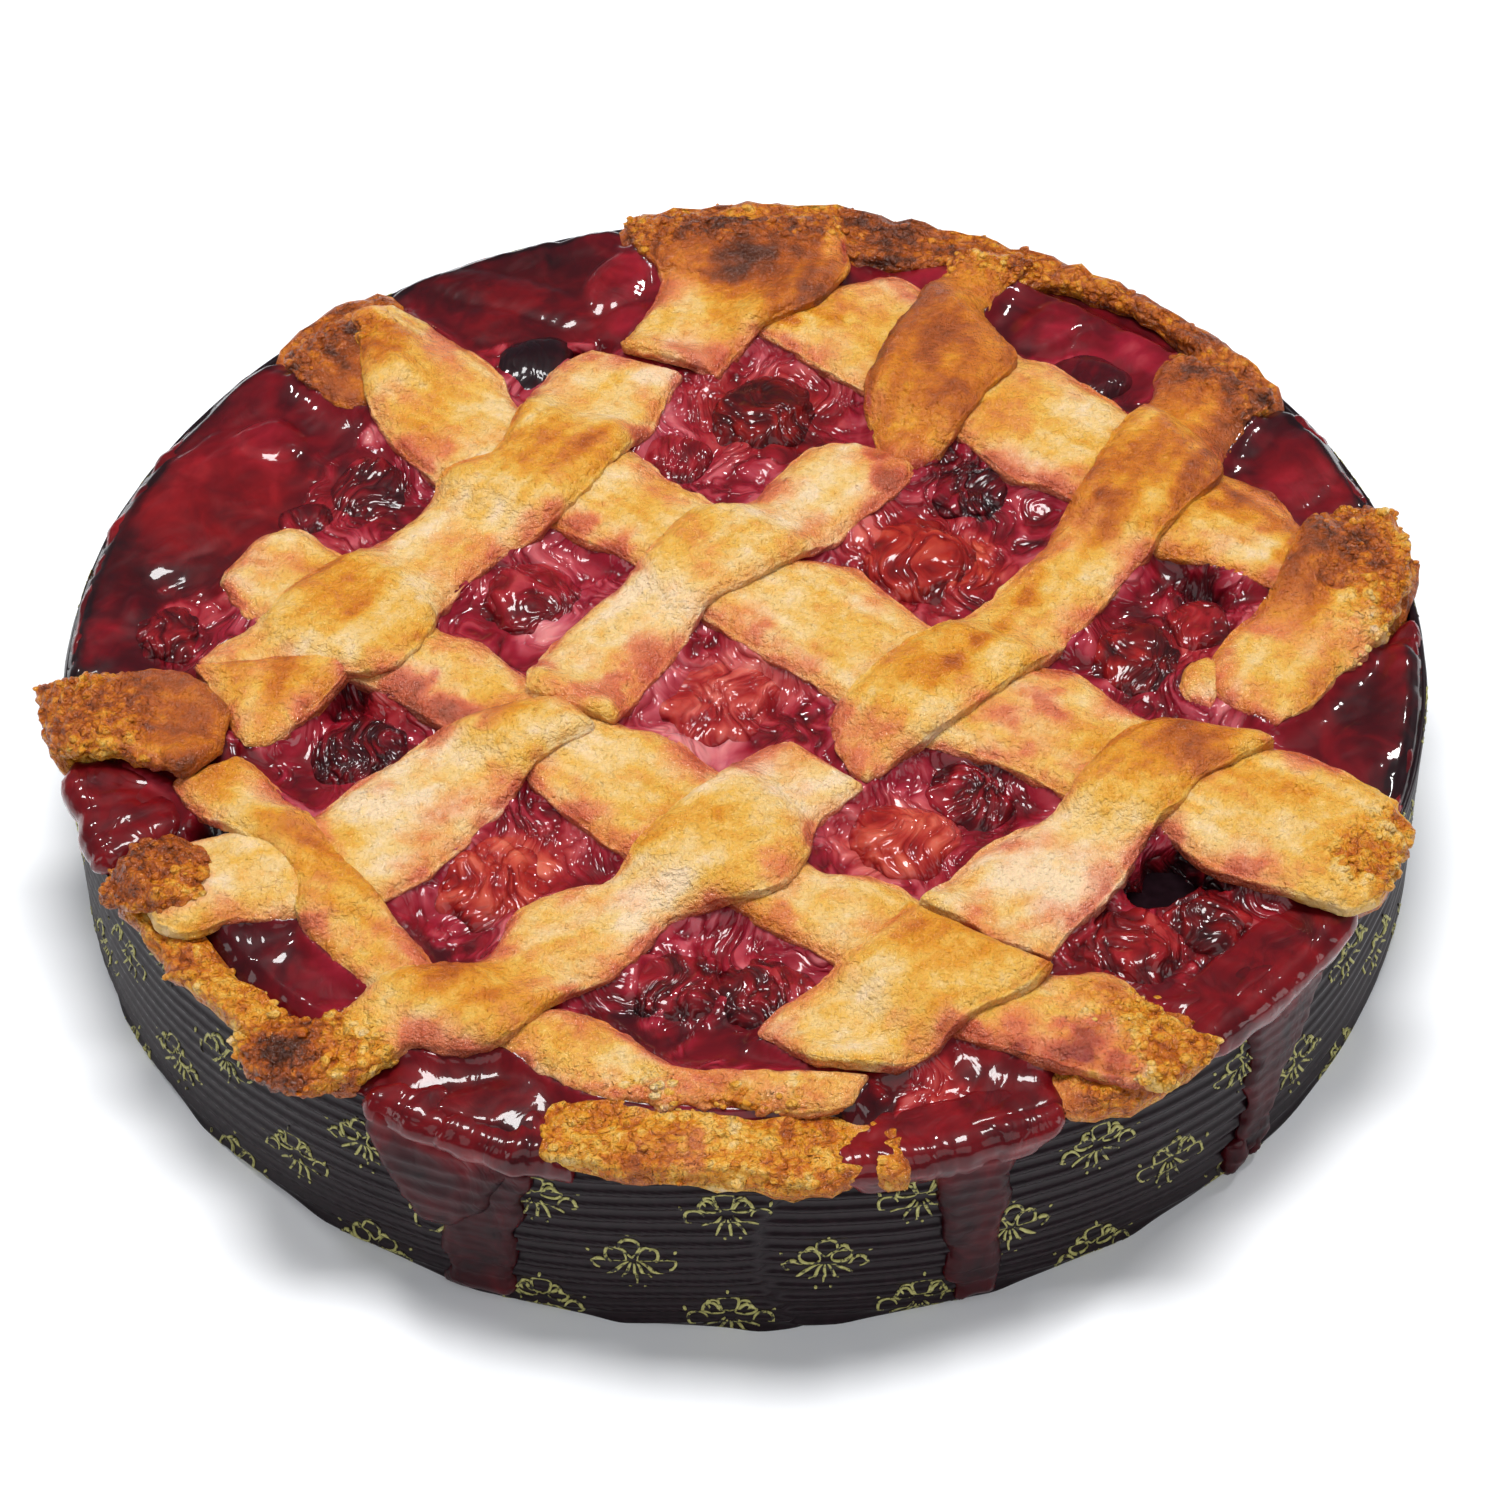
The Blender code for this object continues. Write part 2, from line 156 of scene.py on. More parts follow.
# Places that baked darker or stayed paler than their strip: x, y, radius, amount
BROWNED = (
    (-31, 40, 8, 0.28), (-88, -18, 8, 0.16), (28, 52, 9, 0.1), (25, 44, 5, 0.08), (-63, 6, 12, 0.12),
    (-66, 12, 6, 0.1), (-49, 45, 5, 0.15), (-56, 67, 9, 0.12), (-70, -7, 8, 0.14), (-67, -13, 5, 0.22),
    (-10, 22, 7, -0.06), (6, 24, 5, 0.06), (25, 36, 6, 0.15), (62, 30, 13, 0.15), (52, 18, 8, 0.1),
    (36, -6, 5, 0.2), (29, -14, 4, 0.2), (44, 3, 5, 0.12), (20, -25, 5, 0.1), (-40, -21, 8, 0.22),
    (-12, -41, 8, 0.16), (-5, -45, 8, 0.12), (-22, -60, 6, 0.06), (-40, -70, 8, 0.14),
    (-30, -66, 6, 0.08), (26, -70, 9, 0.16), (14, -80, 6, 0.08), (58, -31, 10, 0.22), (68, -27, 7, 0.2),
    (47, -75, 7, 0.22), (52, -78, 6, 0.1), (45, 50, 10, 0.14), (75, 24, 8, 0.14), (20, 70, 9, 0.1),
    (14, 74, 8, 0.08), (80, 24, 8, 0.15), (-20, -26, 9, 0.02), (-46, -3, 5, 0.16), (-33, -19, 5, 0.2),
    (-78, -31, 6, 0.28), (-62, -47, 6, 0.12), (-66, -42, 7, 0.1), (-56, -61, 7, 0.18),
    (-67, -84, 9, 0.6), (-53, -84, 5, 0.15), (92, -50, 9, 0.25), (76, -38, 9, 0.12), (60, -87, 8, 0.25),
    (93, 15, 10, 0.3), (85, 4, 9, 0.16), (84, 2, 9, 0.12), (98, 8, 6, 0.14), (0, 94, 13, 0.2),
    (6, 82, 12, 0.46), (-10, 63, 7, -0.3), (82, 53, 9, 0.24), (74, 46, 7, 0.15), (-20, -86, 7, 0.06),
    (3, -92, 9, 0.12), (15, 2, 6, -0.06), (44, -52, 9, -0.1), (-50, 15, 10, -0.16), (-12, 3, 8, -0.12),
    (-25, -8, 7, 0.16), (-2, -34, 7, -0.12), (-76, -49, 8, -0.1), (-54, -42, 10, -0.06),
    (-48, -79, 9, -0.12), (18, 40, 6, -0.08), (-100, -14, 7, -0.08), (-84, -20, 8, 0.1),
    (44, 4, 2.4, 0.3), (40, -2, 2.4, 0.3), (36, -8, 2.4, 0.32), (32, -13, 2.4, 0.28), (26, 42, 3, 0.22),
    (33, 60, 12, 0.08), (27, 50, 8, 0.04), (-62, -82, 8, 0.2), (-42, -74, 7, 0.2), (-10, -92, 10, 0.26),
    (-25, -83, 8, 0.16), (-68, 66, 8, 0.2), (-58, 64, 7, 0.12), (68, 12, 4, 0.25), (75, 8, 4, 0.3),
    (76, 40, 8, 0.2), (80, 30, 8, 0.16), (-93, -14, 8, 0.1), (54, 21, 8, 0.12), (64, 35, 7, 0.1),
    (18, 70, 7, 0.08), (66, 27, 9, 0.12), (-50, 60, 8, 0.1), (-74, -50, 8, 0.08), (98, 12, 6, 0.14),
    (76, 56, 7, 0.14), (-50, 15, 6, -0.08), (-64, 8, 6, -0.08), (-15, -30, 7, -0.06),
    (88, -46, 6, -0.12),
)
# Places that the juice soaked: x, y, radius, amount
SOAKED = (
    (-58, 15, 3, 0.25), (-27, -18, 5, 0.3), (-24, -7, 4, 0.3), (46, -20, 4, 0.3), (38, -22, 4, 0.3),
    (23, 40, 4, 0.75), (24, 34, 4, 0.6), (20, 47, 4, 0.5), (-27, 22, 6, 0.8), (-20, 17, 4, 0.6),
    (-52, -12, 5, 0.9), (-47, -16, 5, 1.0), (-42, -19, 4, 0.9), (-38, -21, 3, 0.6), (-13, -16, 7, 0.4),
    (-6, 2, 4, 0.3), (1, 1, 5, 0.45), (6, -5, 5, 0.4), (14, -22, 4, 0.35), (34, -88, 5, 0.95),
    (42, -88, 6, 0.95), (5, -55, 5, 0.4), (3, -36, 4, 0.3), (42, -22, 7, 0.3), (-20, -69, 5, 0.4),
    (-28, -75, 4, 0.35), (6, -77, 4, 0.3), (-47, -50, 5, 0.4), (-37, -35, 4, 0.4), (-58, -64, 5, 0.4),
    (-66, -16, 4, 0.9), (-61, -12, 3, 0.8), (94, -6, 7, 0.35), (54, -62, 4, 0.3), (-56, 45, 4, 0.35),
    (-49, 40, 4, 0.4), (-14, -7, 5, 0.7), (-21, -15, 5, 0.6), (44, -17, 5, 0.4), (17, 47, 5, 0.6),
    (24, 32, 3, 0.6), (29, -84, 4, 0.9), (48, -85, 5, 0.9), (52, -90, 4, 0.8), (12, -16, 5, 0.5),
    (2, -62, 4, 0.7), (-30, -30, 3, 0.3), (-22, -44, 4, 0.35), (18, -78, 3, 0.2), (46, -63, 4, 0.3),
    (-46, -83, 5, 0.7),
)


def scrambled(cell):
    """A fixed but random-looking whole number for each cell of a grid."""
    mixed = cell[:, 0] * 73856093 ^ cell[:, 1] * 19349663 ^ cell[:, 2] * 83492791
    return ((mixed ^ (mixed >> 13)) * 1274126177) & 0x7FFFFFFF


def three_bytes(number):
    """Three numbers from 0 to 255 out of a whole number."""
    return np.stack([(number >> shift) & 255 for shift in (3, 11, 19)], axis=1)


def noise(points, size, seed):
    """Smooth noise from about -1 to 1 with lumps of the given size, at points in millimetres."""
    placed = points / np.asarray(size, float) + seed * 17.317
    cell = np.floor(placed).astype(np.int64)
    part = placed - cell
    fade = part ** 3 * (part * (part * 6 - 15) + 10)
    total = np.zeros(len(points))
    for corner in itertools.product((0, 1), repeat=3):
        mixed = scrambled(cell + np.array(corner))
        mixed = ((mixed ^ (mixed >> 15)) * 668265263) & 0x7FFFFFFF
        slope = three_bytes(mixed) / 127.5 - 1
        weight = np.prod(np.where(corner, fade, 1 - fade), axis=1)
        total += weight * np.sum(slope * (part - corner), axis=1)
    return total * 1.4


def layered_noise(points, size, seed):
    """Noise with lumps of the given size, and of a half and a quarter of it on them."""
    return sum(noise(points, size / 2 ** k, seed + k) / 2 ** k for k in range(3))


def grains(points, size, seed):
    """Distance to the nearest crumb's middle, from 0 to about 1, for crumbs of the given size."""
    placed = points / size + seed * 5.13
    cell = np.floor(placed).astype(np.int64)
    nearest = np.full(len(points), 9.0)
    for step in itertools.product((-1, 0, 1), repeat=3):
        key = cell + np.array(step)
        middle = key + three_bytes(scrambled(key)) / 255
        nearest = np.minimum(nearest, np.sum((placed - middle) ** 2, axis=1))
    return np.sqrt(nearest)


def crumbling(points, large, small, seeds):
    """Height of a crumbled face made of large and small crumbs, about -1 to 1."""
    return (0.5 - grains(points, large, seeds[0])) * 1.5 + (0.45 - grains(points, small, seeds[1])) * 0.7


def points_at(x, y=0.0, z=0.0):
    """Points whose coordinates are given as arrays, or as one number for all of them."""
    return np.stack(np.broadcast_arrays(x, y, z), axis=1)


def smooth_step(low, high, values):
    """0 at low and 1 at high, easing in and out between them."""
    share = np.clip((values - low) / (high - low), 0, 1)
    return share * share * (3 - 2 * share)


def edge_distance(points, outline):
    """How far each point is inside a closed outline in plan, negative outside it."""
    nearest = np.full(len(points), 1e9)
    inside = np.zeros(len(points), bool)
    x, y = points[:, 0], points[:, 1]
    for (ax, ay), (bx, by) in zip(outline, np.roll(outline, -1, axis=0)):
        dx, dy = bx - ax, by - ay
        along = np.clip(((x - ax) * dx + (y - ay) * dy) / max(dx * dx + dy * dy, 1e-9), 0, 1)
        nearest = np.minimum(nearest, (x - ax - along * dx) ** 2 + (y - ay - along * dy) ** 2)
        crosses = (ay > y) != (by > y)
        inside ^= crosses & (x < ax + (y - ay) * dx / (dy if dy else 1e-9))
    return np.where(inside, 1, -1) * np.sqrt(nearest)


def smooth_rows(rows, count):
    """Rows of numbers made into more rows on a smooth curve through them, evenly spaced."""
    rows = np.array([tuple(row) + (0.0,) * (5 - len(row)) for row in rows])
    rows[:, 1:4:2] += SET_BACK
    middles = (rows[:, :2] + rows[:, 2:4]) / 2
    steps = np.hypot(*np.diff(middles, axis=0).T)
    places = np.concatenate([[0], np.cumsum(steps)]) / steps.sum() * (len(rows) - 1)
    wanted = np.interp(np.linspace(0, len(rows) - 1, count), places, np.arange(len(rows)))
    index = np.minimum(wanted.astype(int), len(rows) - 2)
    t = (wanted - index)[:, None]
    before, here = rows[np.maximum(index - 1, 0)], rows[index]
    after, beyond = rows[index + 1], rows[np.minimum(index + 2, len(rows) - 1)]
    return here + 0.5 * t * (after - before + t * (2 * before - 5 * here + 4 * after - beyond
                             + t * (3 * (here - after) + beyond - before)))


def strip_length(rows):
    """Length of a strip along the middles of its rows."""
    middles = np.array([((row[0] + row[2]) / 2, (row[1] + row[3]) / 2) for row in rows])
    return np.hypot(*np.diff(middles, axis=0).T).sum()


def outline_of(name):
    """Closed outline of a strip in plan, down its left side and back up its right."""
    rows = smooth_rows(STRIPS[name][3], 3 * len(STRIPS[name][3]))
    return np.concatenate([rows[:, :2], rows[::-1, 2:4]])


OUTLINES = {name: outline_of(name) for name in STRIPS}


def vertex_places(obj):
    places = np.empty(len(obj.data.vertices) * 3)
    obj.data.vertices.foreach_get("co", places)
    return places.reshape(-1, 3)


def vertex_normals(obj):
    normals = np.empty(len(obj.data.vertices) * 3, np.float32)
    obj.data.vertex_normals.foreach_get("vector", normals)
    return normals.reshape(-1, 3).astype(float)


def move_vertices(obj, places):
    obj.data.vertices.foreach_set("co", places.astype(np.float32).ravel())
    obj.data.update()


def paint(obj, name, values):
    """Stores a number for each vertex, which the piece's material reads."""
    layer = obj.data.attributes.new(name, "FLOAT", "POINT")
    layer.data.foreach_set("value", np.clip(values, 0, 1).astype(np.float32))


def deselect_all():
    for obj in bpy.context.selected_objects:
        obj.select_set(False)


def add_mesh(primitive, name, **settings):
    """Adds a mesh primitive under a name, and selects only it."""
    deselect_all()
    primitive(**settings)
    bpy.context.object.name = bpy.context.object.data.name = name
    return bpy.context.object


def copy_of(obj):
    """A copy of a piece with its own mesh."""
    copy = obj.copy()
    copy.data = obj.data.copy()
    bpy.context.scene.collection.objects.link(copy)
    return copy


def join_pieces(pieces, name):
    deselect_all()
    for piece in pieces:
        piece.select_set(True)
    bpy.context.view_layer.objects.active = pieces[0]
    bpy.ops.object.join()
    bpy.context.object.name = bpy.context.object.data.name = name
    return bpy.context.object


def edit_selected(obj, kind, chosen):
    """Goes to edit mode with only the chosen edges or vertices of a piece selected."""
    bpy.ops.object.mode_set(mode="EDIT")
    bpy.ops.mesh.select_mode(type=kind)
    bpy.ops.mesh.select_all(action="DESELECT")
    bpy.ops.object.mode_set(mode="OBJECT")
    (obj.data.edges if kind == "EDGE" else obj.data.vertices).foreach_set("select", chosen)
    bpy.ops.object.mode_set(mode="EDIT")


def select_open_edges():
    bpy.ops.mesh.select_all(action="DESELECT")
    bpy.ops.mesh.select_non_manifold(extend=False, use_wire=False, use_multi_face=False,
                                     use_non_contiguous=False, use_verts=False)


def apply_modifier(obj, kind, **settings):
    modifier = obj.modifiers.new(kind.title(), kind)
    for key, value in settings.items():
        setattr(modifier, key, value)
    bpy.context.view_layer.objects.active = obj
    bpy.ops.object.modifier_apply(modifier=modifier.name)


def finish_piece(obj, material, slot, *nodes):
    """Scales the piece to metres, and gives it its material and body; the slot is not used."""
    obj.data.transform(Matrix.Scale(MM, 4))
    obj.data.polygons.foreach_set("use_smooth", np.ones(len(obj.data.polygons), bool))
    obj.data.materials.clear()
    obj.data.materials.append(material)
    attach(obj, "root")
    if nodes:
        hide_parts(*nodes)


# ---------------------------------------------------------------- materials

def linear(hex_colour):
    """sRGB hex to the linear colour that shaders take."""
    values = [int(hex_colour[i:i + 2], 16) / 255 for i in (1, 3, 5)]
    return [v / 12.92 if v <= 0.04045 else ((v + 0.055) / 1.055) ** 2.4 for v in values] + [1.0]


def set_inputs(tree, node, inputs):
    """Puts constants or links on a node's inputs, which are named or given in order."""
    for key, value in inputs.items() if isinstance(inputs, dict) else enumerate(inputs):
        if isinstance(value, bpy.types.NodeSocket):
            tree.links.new(value, node.inputs[key])
        else:
            node.inputs[key].default_value = value


def add_node(tree, kind, inputs, output=0, stops=(), **settings):
    """Adds a node with its settings, colour stops and inputs. Returns one of its outputs."""
    node = tree.nodes.new("ShaderNode" + kind)
    for key, value in settings.items():
        setattr(node, key, value)
    if stops:
        elements = node.color_ramp.elements
        while len(elements) < len(stops):
            elements.new(0.5)
        for element, (place, colour) in zip(elements, stops):
            element.position = place
            element.color = linear(colour)
    set_inputs(tree, node, inputs)
    return node.outputs[output]


def new_material(name):
    """A material with its node tree and its shader."""
    material = bpy.data.materials.new(name)
    material.use_nodes = True
    return material, material.node_tree, material.node_tree.nodes["Principled BSDF"]


def per_mm(size):
    """Scale of a noise texture whose lumps are to be of this size in millimetres."""
    return 1 / (size * MM)


def baked_dough():
    """Baked shortcrust with an egg wash: mottled gold on a pale crumb, brown where
    it stood proud, finely cracked, pink to dark red where the juice soaked in."""
    material, tree, shader = new_material("Baked shortcrust")
    place = add_node(tree, "TexCoord", {}, "Object")
    browning, juice, crumbs = (add_node(tree, "Attribute", {}, "Fac", attribute_name=name)
                               for name in ("browning", "juice", "crumbs"))
    mottle = add_node(tree, "TexNoise",
                      {"Vector": place, "Scale": per_mm(10), "Detail": 6.0, "Roughness": 0.6})
    freckle = add_node(tree, "TexNoise",
                       {"Vector": place, "Scale": per_mm(1.7), "Detail": 4.0, "Roughness": 0.65})
    grain = add_node(tree, "TexNoise", {"Vector": place, "Scale": per_mm(0.6), "Detail": 2.0})
    uneven = add_node(tree, "Math", (mottle, 0.84, -0.42), operation="MULTIPLY_ADD")
    flecked = add_node(tree, "Math", (freckle, 0.36, -0.18), operation="MULTIPLY_ADD")
    baked = add_node(tree, "Math", (browning, uneven), operation="ADD")
    baked = add_node(tree, "Math", (baked, flecked), operation="ADD")

    # Crumbs of about 1.3 mm, jostled out of line, some darker than others, with painted shade in the gaps
    # between them
    drift = add_node(tree, "TexNoise", {"Vector": place, "Scale": per_mm(1.8), "Detail": 2.0}, "Color")
    jostled = add_node(tree, "VectorMath", (drift, (0.0018,) * 3, place), operation="MULTIPLY_ADD")
    crumb_shape = add_node(tree, "TexVoronoi", {"Vector": jostled, "Scale": per_mm(1.35)}, "Distance")
    crumb_shade = crumb_shape.node.outputs["Color"]
    crumb_tone_and_gap_shade = add_node(tree, "Math", (crumb_shade, 0.26, -0.24), operation="MULTIPLY_ADD")
    # Painted shade: the further from a crumb's middle, the darker the crust
    crumb_tone_and_gap_shade = add_node(tree, "Math", (crumb_shape, 0.26, crumb_tone_and_gap_shade), operation="MULTIPLY_ADD")
    baked = add_node(tree, "Math", (crumb_tone_and_gap_shade, crumbs, baked), operation="MULTIPLY_ADD")
    crust = add_node(tree, "ValToRGB", (baked,), stops=(
        (0.0, "#E8CAA2"), (0.14, "#E4BE7C"), (0.28, "#DFAA48"), (0.42, "#D68D1E"),
        (0.56, "#C26A0C"), (0.7, "#A34C08"), (0.85, "#7C3608"), (1.0, "#4E2007")))

    # Hairline cracks round flakes of about 5 mm, in some places only
    sway = add_node(tree, "TexNoise", {"Vector": place, "Scale": per_mm(3.5), "Detail": 3.0}, "Color")
    bent = add_node(tree, "VectorMath", (sway, (0.006,) * 3, place), operation="MULTIPLY_ADD")
    cells = add_node(tree, "TexVoronoi", {"Vector": bent, "Scale": per_mm(5)}, "Distance",
                     feature="DISTANCE_TO_EDGE")
    patches = add_node(tree, "TexNoise", {"Vector": place, "Scale": per_mm(7), "Detail": 2.0})
    line = add_node(tree, "MapRange", (cells, 0.0, 0.022, 1.0, 0.0))
    dry = add_node(tree, "MapRange", (patches, 0.6, 0.7, 0.0, 1.0))
    cracked = add_node(tree, "Math", (line, dry), operation="MULTIPLY")
    crack_share = add_node(tree, "Math", (cracked, 0.5), operation="MULTIPLY")
    lined = add_node(tree, "Mix", {0: crack_share, 6: crust, 7: linear("#A8562A")}, 2, data_type="RGBA")

    # Juice shows as a blush on pale dough, and hardly on brown dough unless it is soaked through
    soaked = add_node(tree, "Math", (uneven, 0.9, juice), operation="MULTIPLY_ADD")
    soaked = add_node(tree, "Math", (soaked, -0.12), operation="ADD")
    soaked = add_node(tree, "Math", (freckle, 0.24, soaked), operation="MULTIPLY_ADD")
    damp = add_node(tree, "MapRange", (soaked, 0.06, 0.45, 0.0, 1.0))
    pale = add_node(tree, "MapRange", (browning, 0.34, 0.55, 1.0, 0.12))
    drenched = add_node(tree, "MapRange", (soaked, 0.55, 0.9, 0.0, 1.0))
    blush = add_node(tree, "Math", (damp, pale), operation="MULTIPLY")
    blush = add_node(tree, "Math", (blush, drenched), operation="MAXIMUM")
    stain = add_node(tree, "ValToRGB", (soaked,), stops=(
        (0.0, "#EDA77C"), (0.35, "#D9714E"), (0.7, "#B53A33"), (1.0, "#8A1827")))
    stain_share = add_node(tree, "Math", (blush, 0.85), operation="MULTIPLY")
    colour = add_node(tree, "Mix", {0: stain_share, 6: lined, 7: stain}, 2, data_type="RGBA")

    # Egg wash is shinier on brown and on soaked dough
    washed = add_node(tree, "Math", (browning, 0.9), operation="MULTIPLY")
    washed = add_node(tree, "Math", (blush, washed), operation="ADD")

    dents = add_node(tree, "Bump", {"Strength": 0.8, "Distance": 0.002, "Height": freckle})
    crumbled = add_node(tree, "Math", (crumb_shape, crumbs), operation="MULTIPLY")
    rubble = add_node(tree, "Bump", {"Strength": 0.9, "Distance": 0.0009, "Height": crumbled,
                                     "Normal": dents}, invert=True)
    split = add_node(tree, "Bump", {"Strength": 0.5, "Distance": 0.0002, "Height": cracked,
                                    "Normal": rubble}, invert=True)
    skin = add_node(tree, "Bump", {"Strength": 0.8, "Distance": 0.0005, "Height": grain, "Normal": split})
    set_inputs(tree, shader, {
        "Base Color": colour, "Normal": skin, "Coat Normal": skin,
        "Roughness": add_node(tree, "MapRange", (washed, 0.0, 1.0, 0.52, 0.3)),
        "Coat Weight": add_node(tree, "MapRange", (washed, 0.0, 0.8, 0.2, 0.8)),
        "Coat Roughness": 0.16, "Coat IOR": 1.4, "Specular IOR Level": 0.22,
        "Subsurface Weight": 0.12, "Subsurface Radius": (1.0, 0.5, 0.25), "Subsurface Scale": 0.0015})
    return material


def cooked_filling(name, gloss):
    """Cherry juice set to a clear glossy jelly over cooked fruit. Painted flesh sets how pale it is
    and carries painted shade, brick how far from purple to brick red, and pulp how wrinkled."""
    material, tree, shader = new_material(name)
    place = add_node(tree, "TexCoord", {}, "Object")
    flesh, pulp, brick = (add_node(tree, "Attribute", {}, "Fac", attribute_name=layer)
                          for layer in ("flesh", "pulp", "brick"))
    mottle = add_node(tree, "TexNoise",
                      {"Vector": place, "Scale": per_mm(7), "Detail": 3.0, "Distortion": 0.8})

    # Long rounded folds of skin, about 3 mm apart, that wander; their creases are painted darker, as painted
    # shade
    sway = add_node(tree, "TexNoise", {"Vector": place, "Scale": per_mm(12), "Detail": 1.0}, "Color")
    wander = add_node(tree, "VectorMath", (sway, (0.022,) * 3, place), operation="MULTIPLY_ADD")
    drawn_out = add_node(tree, "VectorMath", (wander, (1.0, 0.4, 0.6)), operation="MULTIPLY")
    folded = add_node(tree, "TexNoise",
                      {"Vector": drawn_out, "Scale": per_mm(3.4), "Detail": 2.0, "Roughness": 0.45})
    fold = add_node(tree, "Math", (folded, 2.0, -1.0), operation="MULTIPLY_ADD")
    fold = add_node(tree, "Math", (fold,), operation="ABSOLUTE")
    fold = add_node(tree, "Math", (fold, 0.34), operation="MINIMUM")
    fold = add_node(tree, "Math", (fold, -0.16), operation="ADD")
    folds = add_node(tree, "Math", (fold, pulp), operation="MULTIPLY")

    cloudy = add_node(tree, "Math", (mottle, 0.5, -0.25), operation="MULTIPLY_ADD")
    # Painted shade: the folds' creases darken the colour and their ridges lighten it
    tone = add_node(tree, "Math", (folds, 0.9, flesh), operation="MULTIPLY_ADD")
    tone = add_node(tree, "Math", (cloudy, tone), operation="ADD")
    jelly = add_node(tree, "ValToRGB", (tone,), stops=(
        (0.0, "#1A0207"), (0.2, "#43030C"), (0.36, "#680614"), (0.5, "#860F26"),
        (0.66, "#9F3444"), (0.82, "#B85562"), (1.0, "#CC7A7E")))
    fruit = add_node(tree, "ValToRGB", (tone,), stops=(
        (0.0, "#240405"), (0.2, "#500507"), (0.36, "#780D0C"), (0.5, "#961E15"),
        (0.66, "#AF3F2C"), (0.82, "#C45D46"), (1.0, "#D4836B")))
    hue = add_node(tree, "Math", (mottle, 0.6, -0.3), operation="MULTIPLY_ADD")
    hue = add_node(tree, "Math", (brick, hue), operation="ADD")
    set_inputs(tree, shader, {
        "Base Color": add_node(tree, "Mix", {0: hue, 6: jelly, 7: fruit}, 2, data_type="RGBA"),
        "Normal": add_node(tree, "Bump", {"Strength": 1.0, "Distance": 0.0014, "Height": folds}),
        "Coat Normal": add_node(tree, "Bump", {"Strength": 0.9, "Distance": 0.0016, "Height": folds}),
        "Roughness": 0.45, "Specular IOR Level": 0.1,
        "Coat Weight": gloss, "Coat Roughness": 0.06, "Coat IOR": 1.36,
        "Subsurface Weight": 0.35, "Subsurface Radius": (1.0, 0.2, 0.15), "Subsurface Scale": 0.002})
    return material


def mould_paper():
    """Greaseproof paper dyed dark brown and pressed into ribs, with a satin face."""
    material, tree, shader = new_material("Corrugated mould paper")
    place = add_node(tree, "TexCoord", {}, "Object")
    fibre = add_node(tree, "TexNoise", {"Vector": place, "Scale": per_mm(1.2), "Detail": 4.0})
    set_inputs(tree, shader, {
        "Base Color": add_node(tree, "ValToRGB", (fibre,), stops=((0.3, "#150A0E"), (0.7, "#211218"))),
        "Normal": add_node(tree, "Bump", {"Strength": 0.15, "Distance": 0.0002, "Height": fibre}),
        "Roughness": 0.3, "Specular IOR Level": 0.2})
    return material


def gold_ink():
    """Dull gold ink, worn thin on the ribs."""
    material, tree, shader = new_material("Gold ink")
    place = add_node(tree, "TexCoord", {}, "Object")
    wear = add_node(tree, "TexNoise", {"Vector": place, "Scale": per_mm(0.8), "Detail": 2.0})
    set_inputs(tree, shader, {
        "Base Color": add_node(tree, "ValToRGB", (wear,), stops=(
            (0.4, "#2A2118"), (0.47, "#A8A25C"), (1.0, "#D6D08C"))),
        "Roughness": 0.42, "Metallic": 0.2})
    return material


DOUGH = baked_dough()
FILLING = cooked_filling("Cooked cherry filling", 1.0)
DRIED_JUICE = cooked_filling("Juice dried on the mould", 0.25)
PAPER = mould_paper()
GOLD = gold_ink()


# ---------------------------------------------------------------- dough strips

def lift_over(points, names):
    """How much a strip rises where it lies over others, easing off beside them."""
    lift = np.zeros(len(points))
    for name in names:
        beside = edge_distance(points, OUTLINES[name])
        lift = np.maximum(lift, smooth_step(-DRAPE_REACH, 1.5, beside) * CROSSING_LIFT)
    return lift


def spots(points, places, wobble=0.0):
    """Sum of soft blotches, each given as x, y, radius and amount."""
    total = np.zeros(len(points))
    for x, y, radius, amount in places:
        away = np.hypot(points[:, 0] - x, points[:, 1] - y) / radius
        total += amount * (1 - smooth_step(0.1, 1.4, away + 0.45 * wobble))
    return total


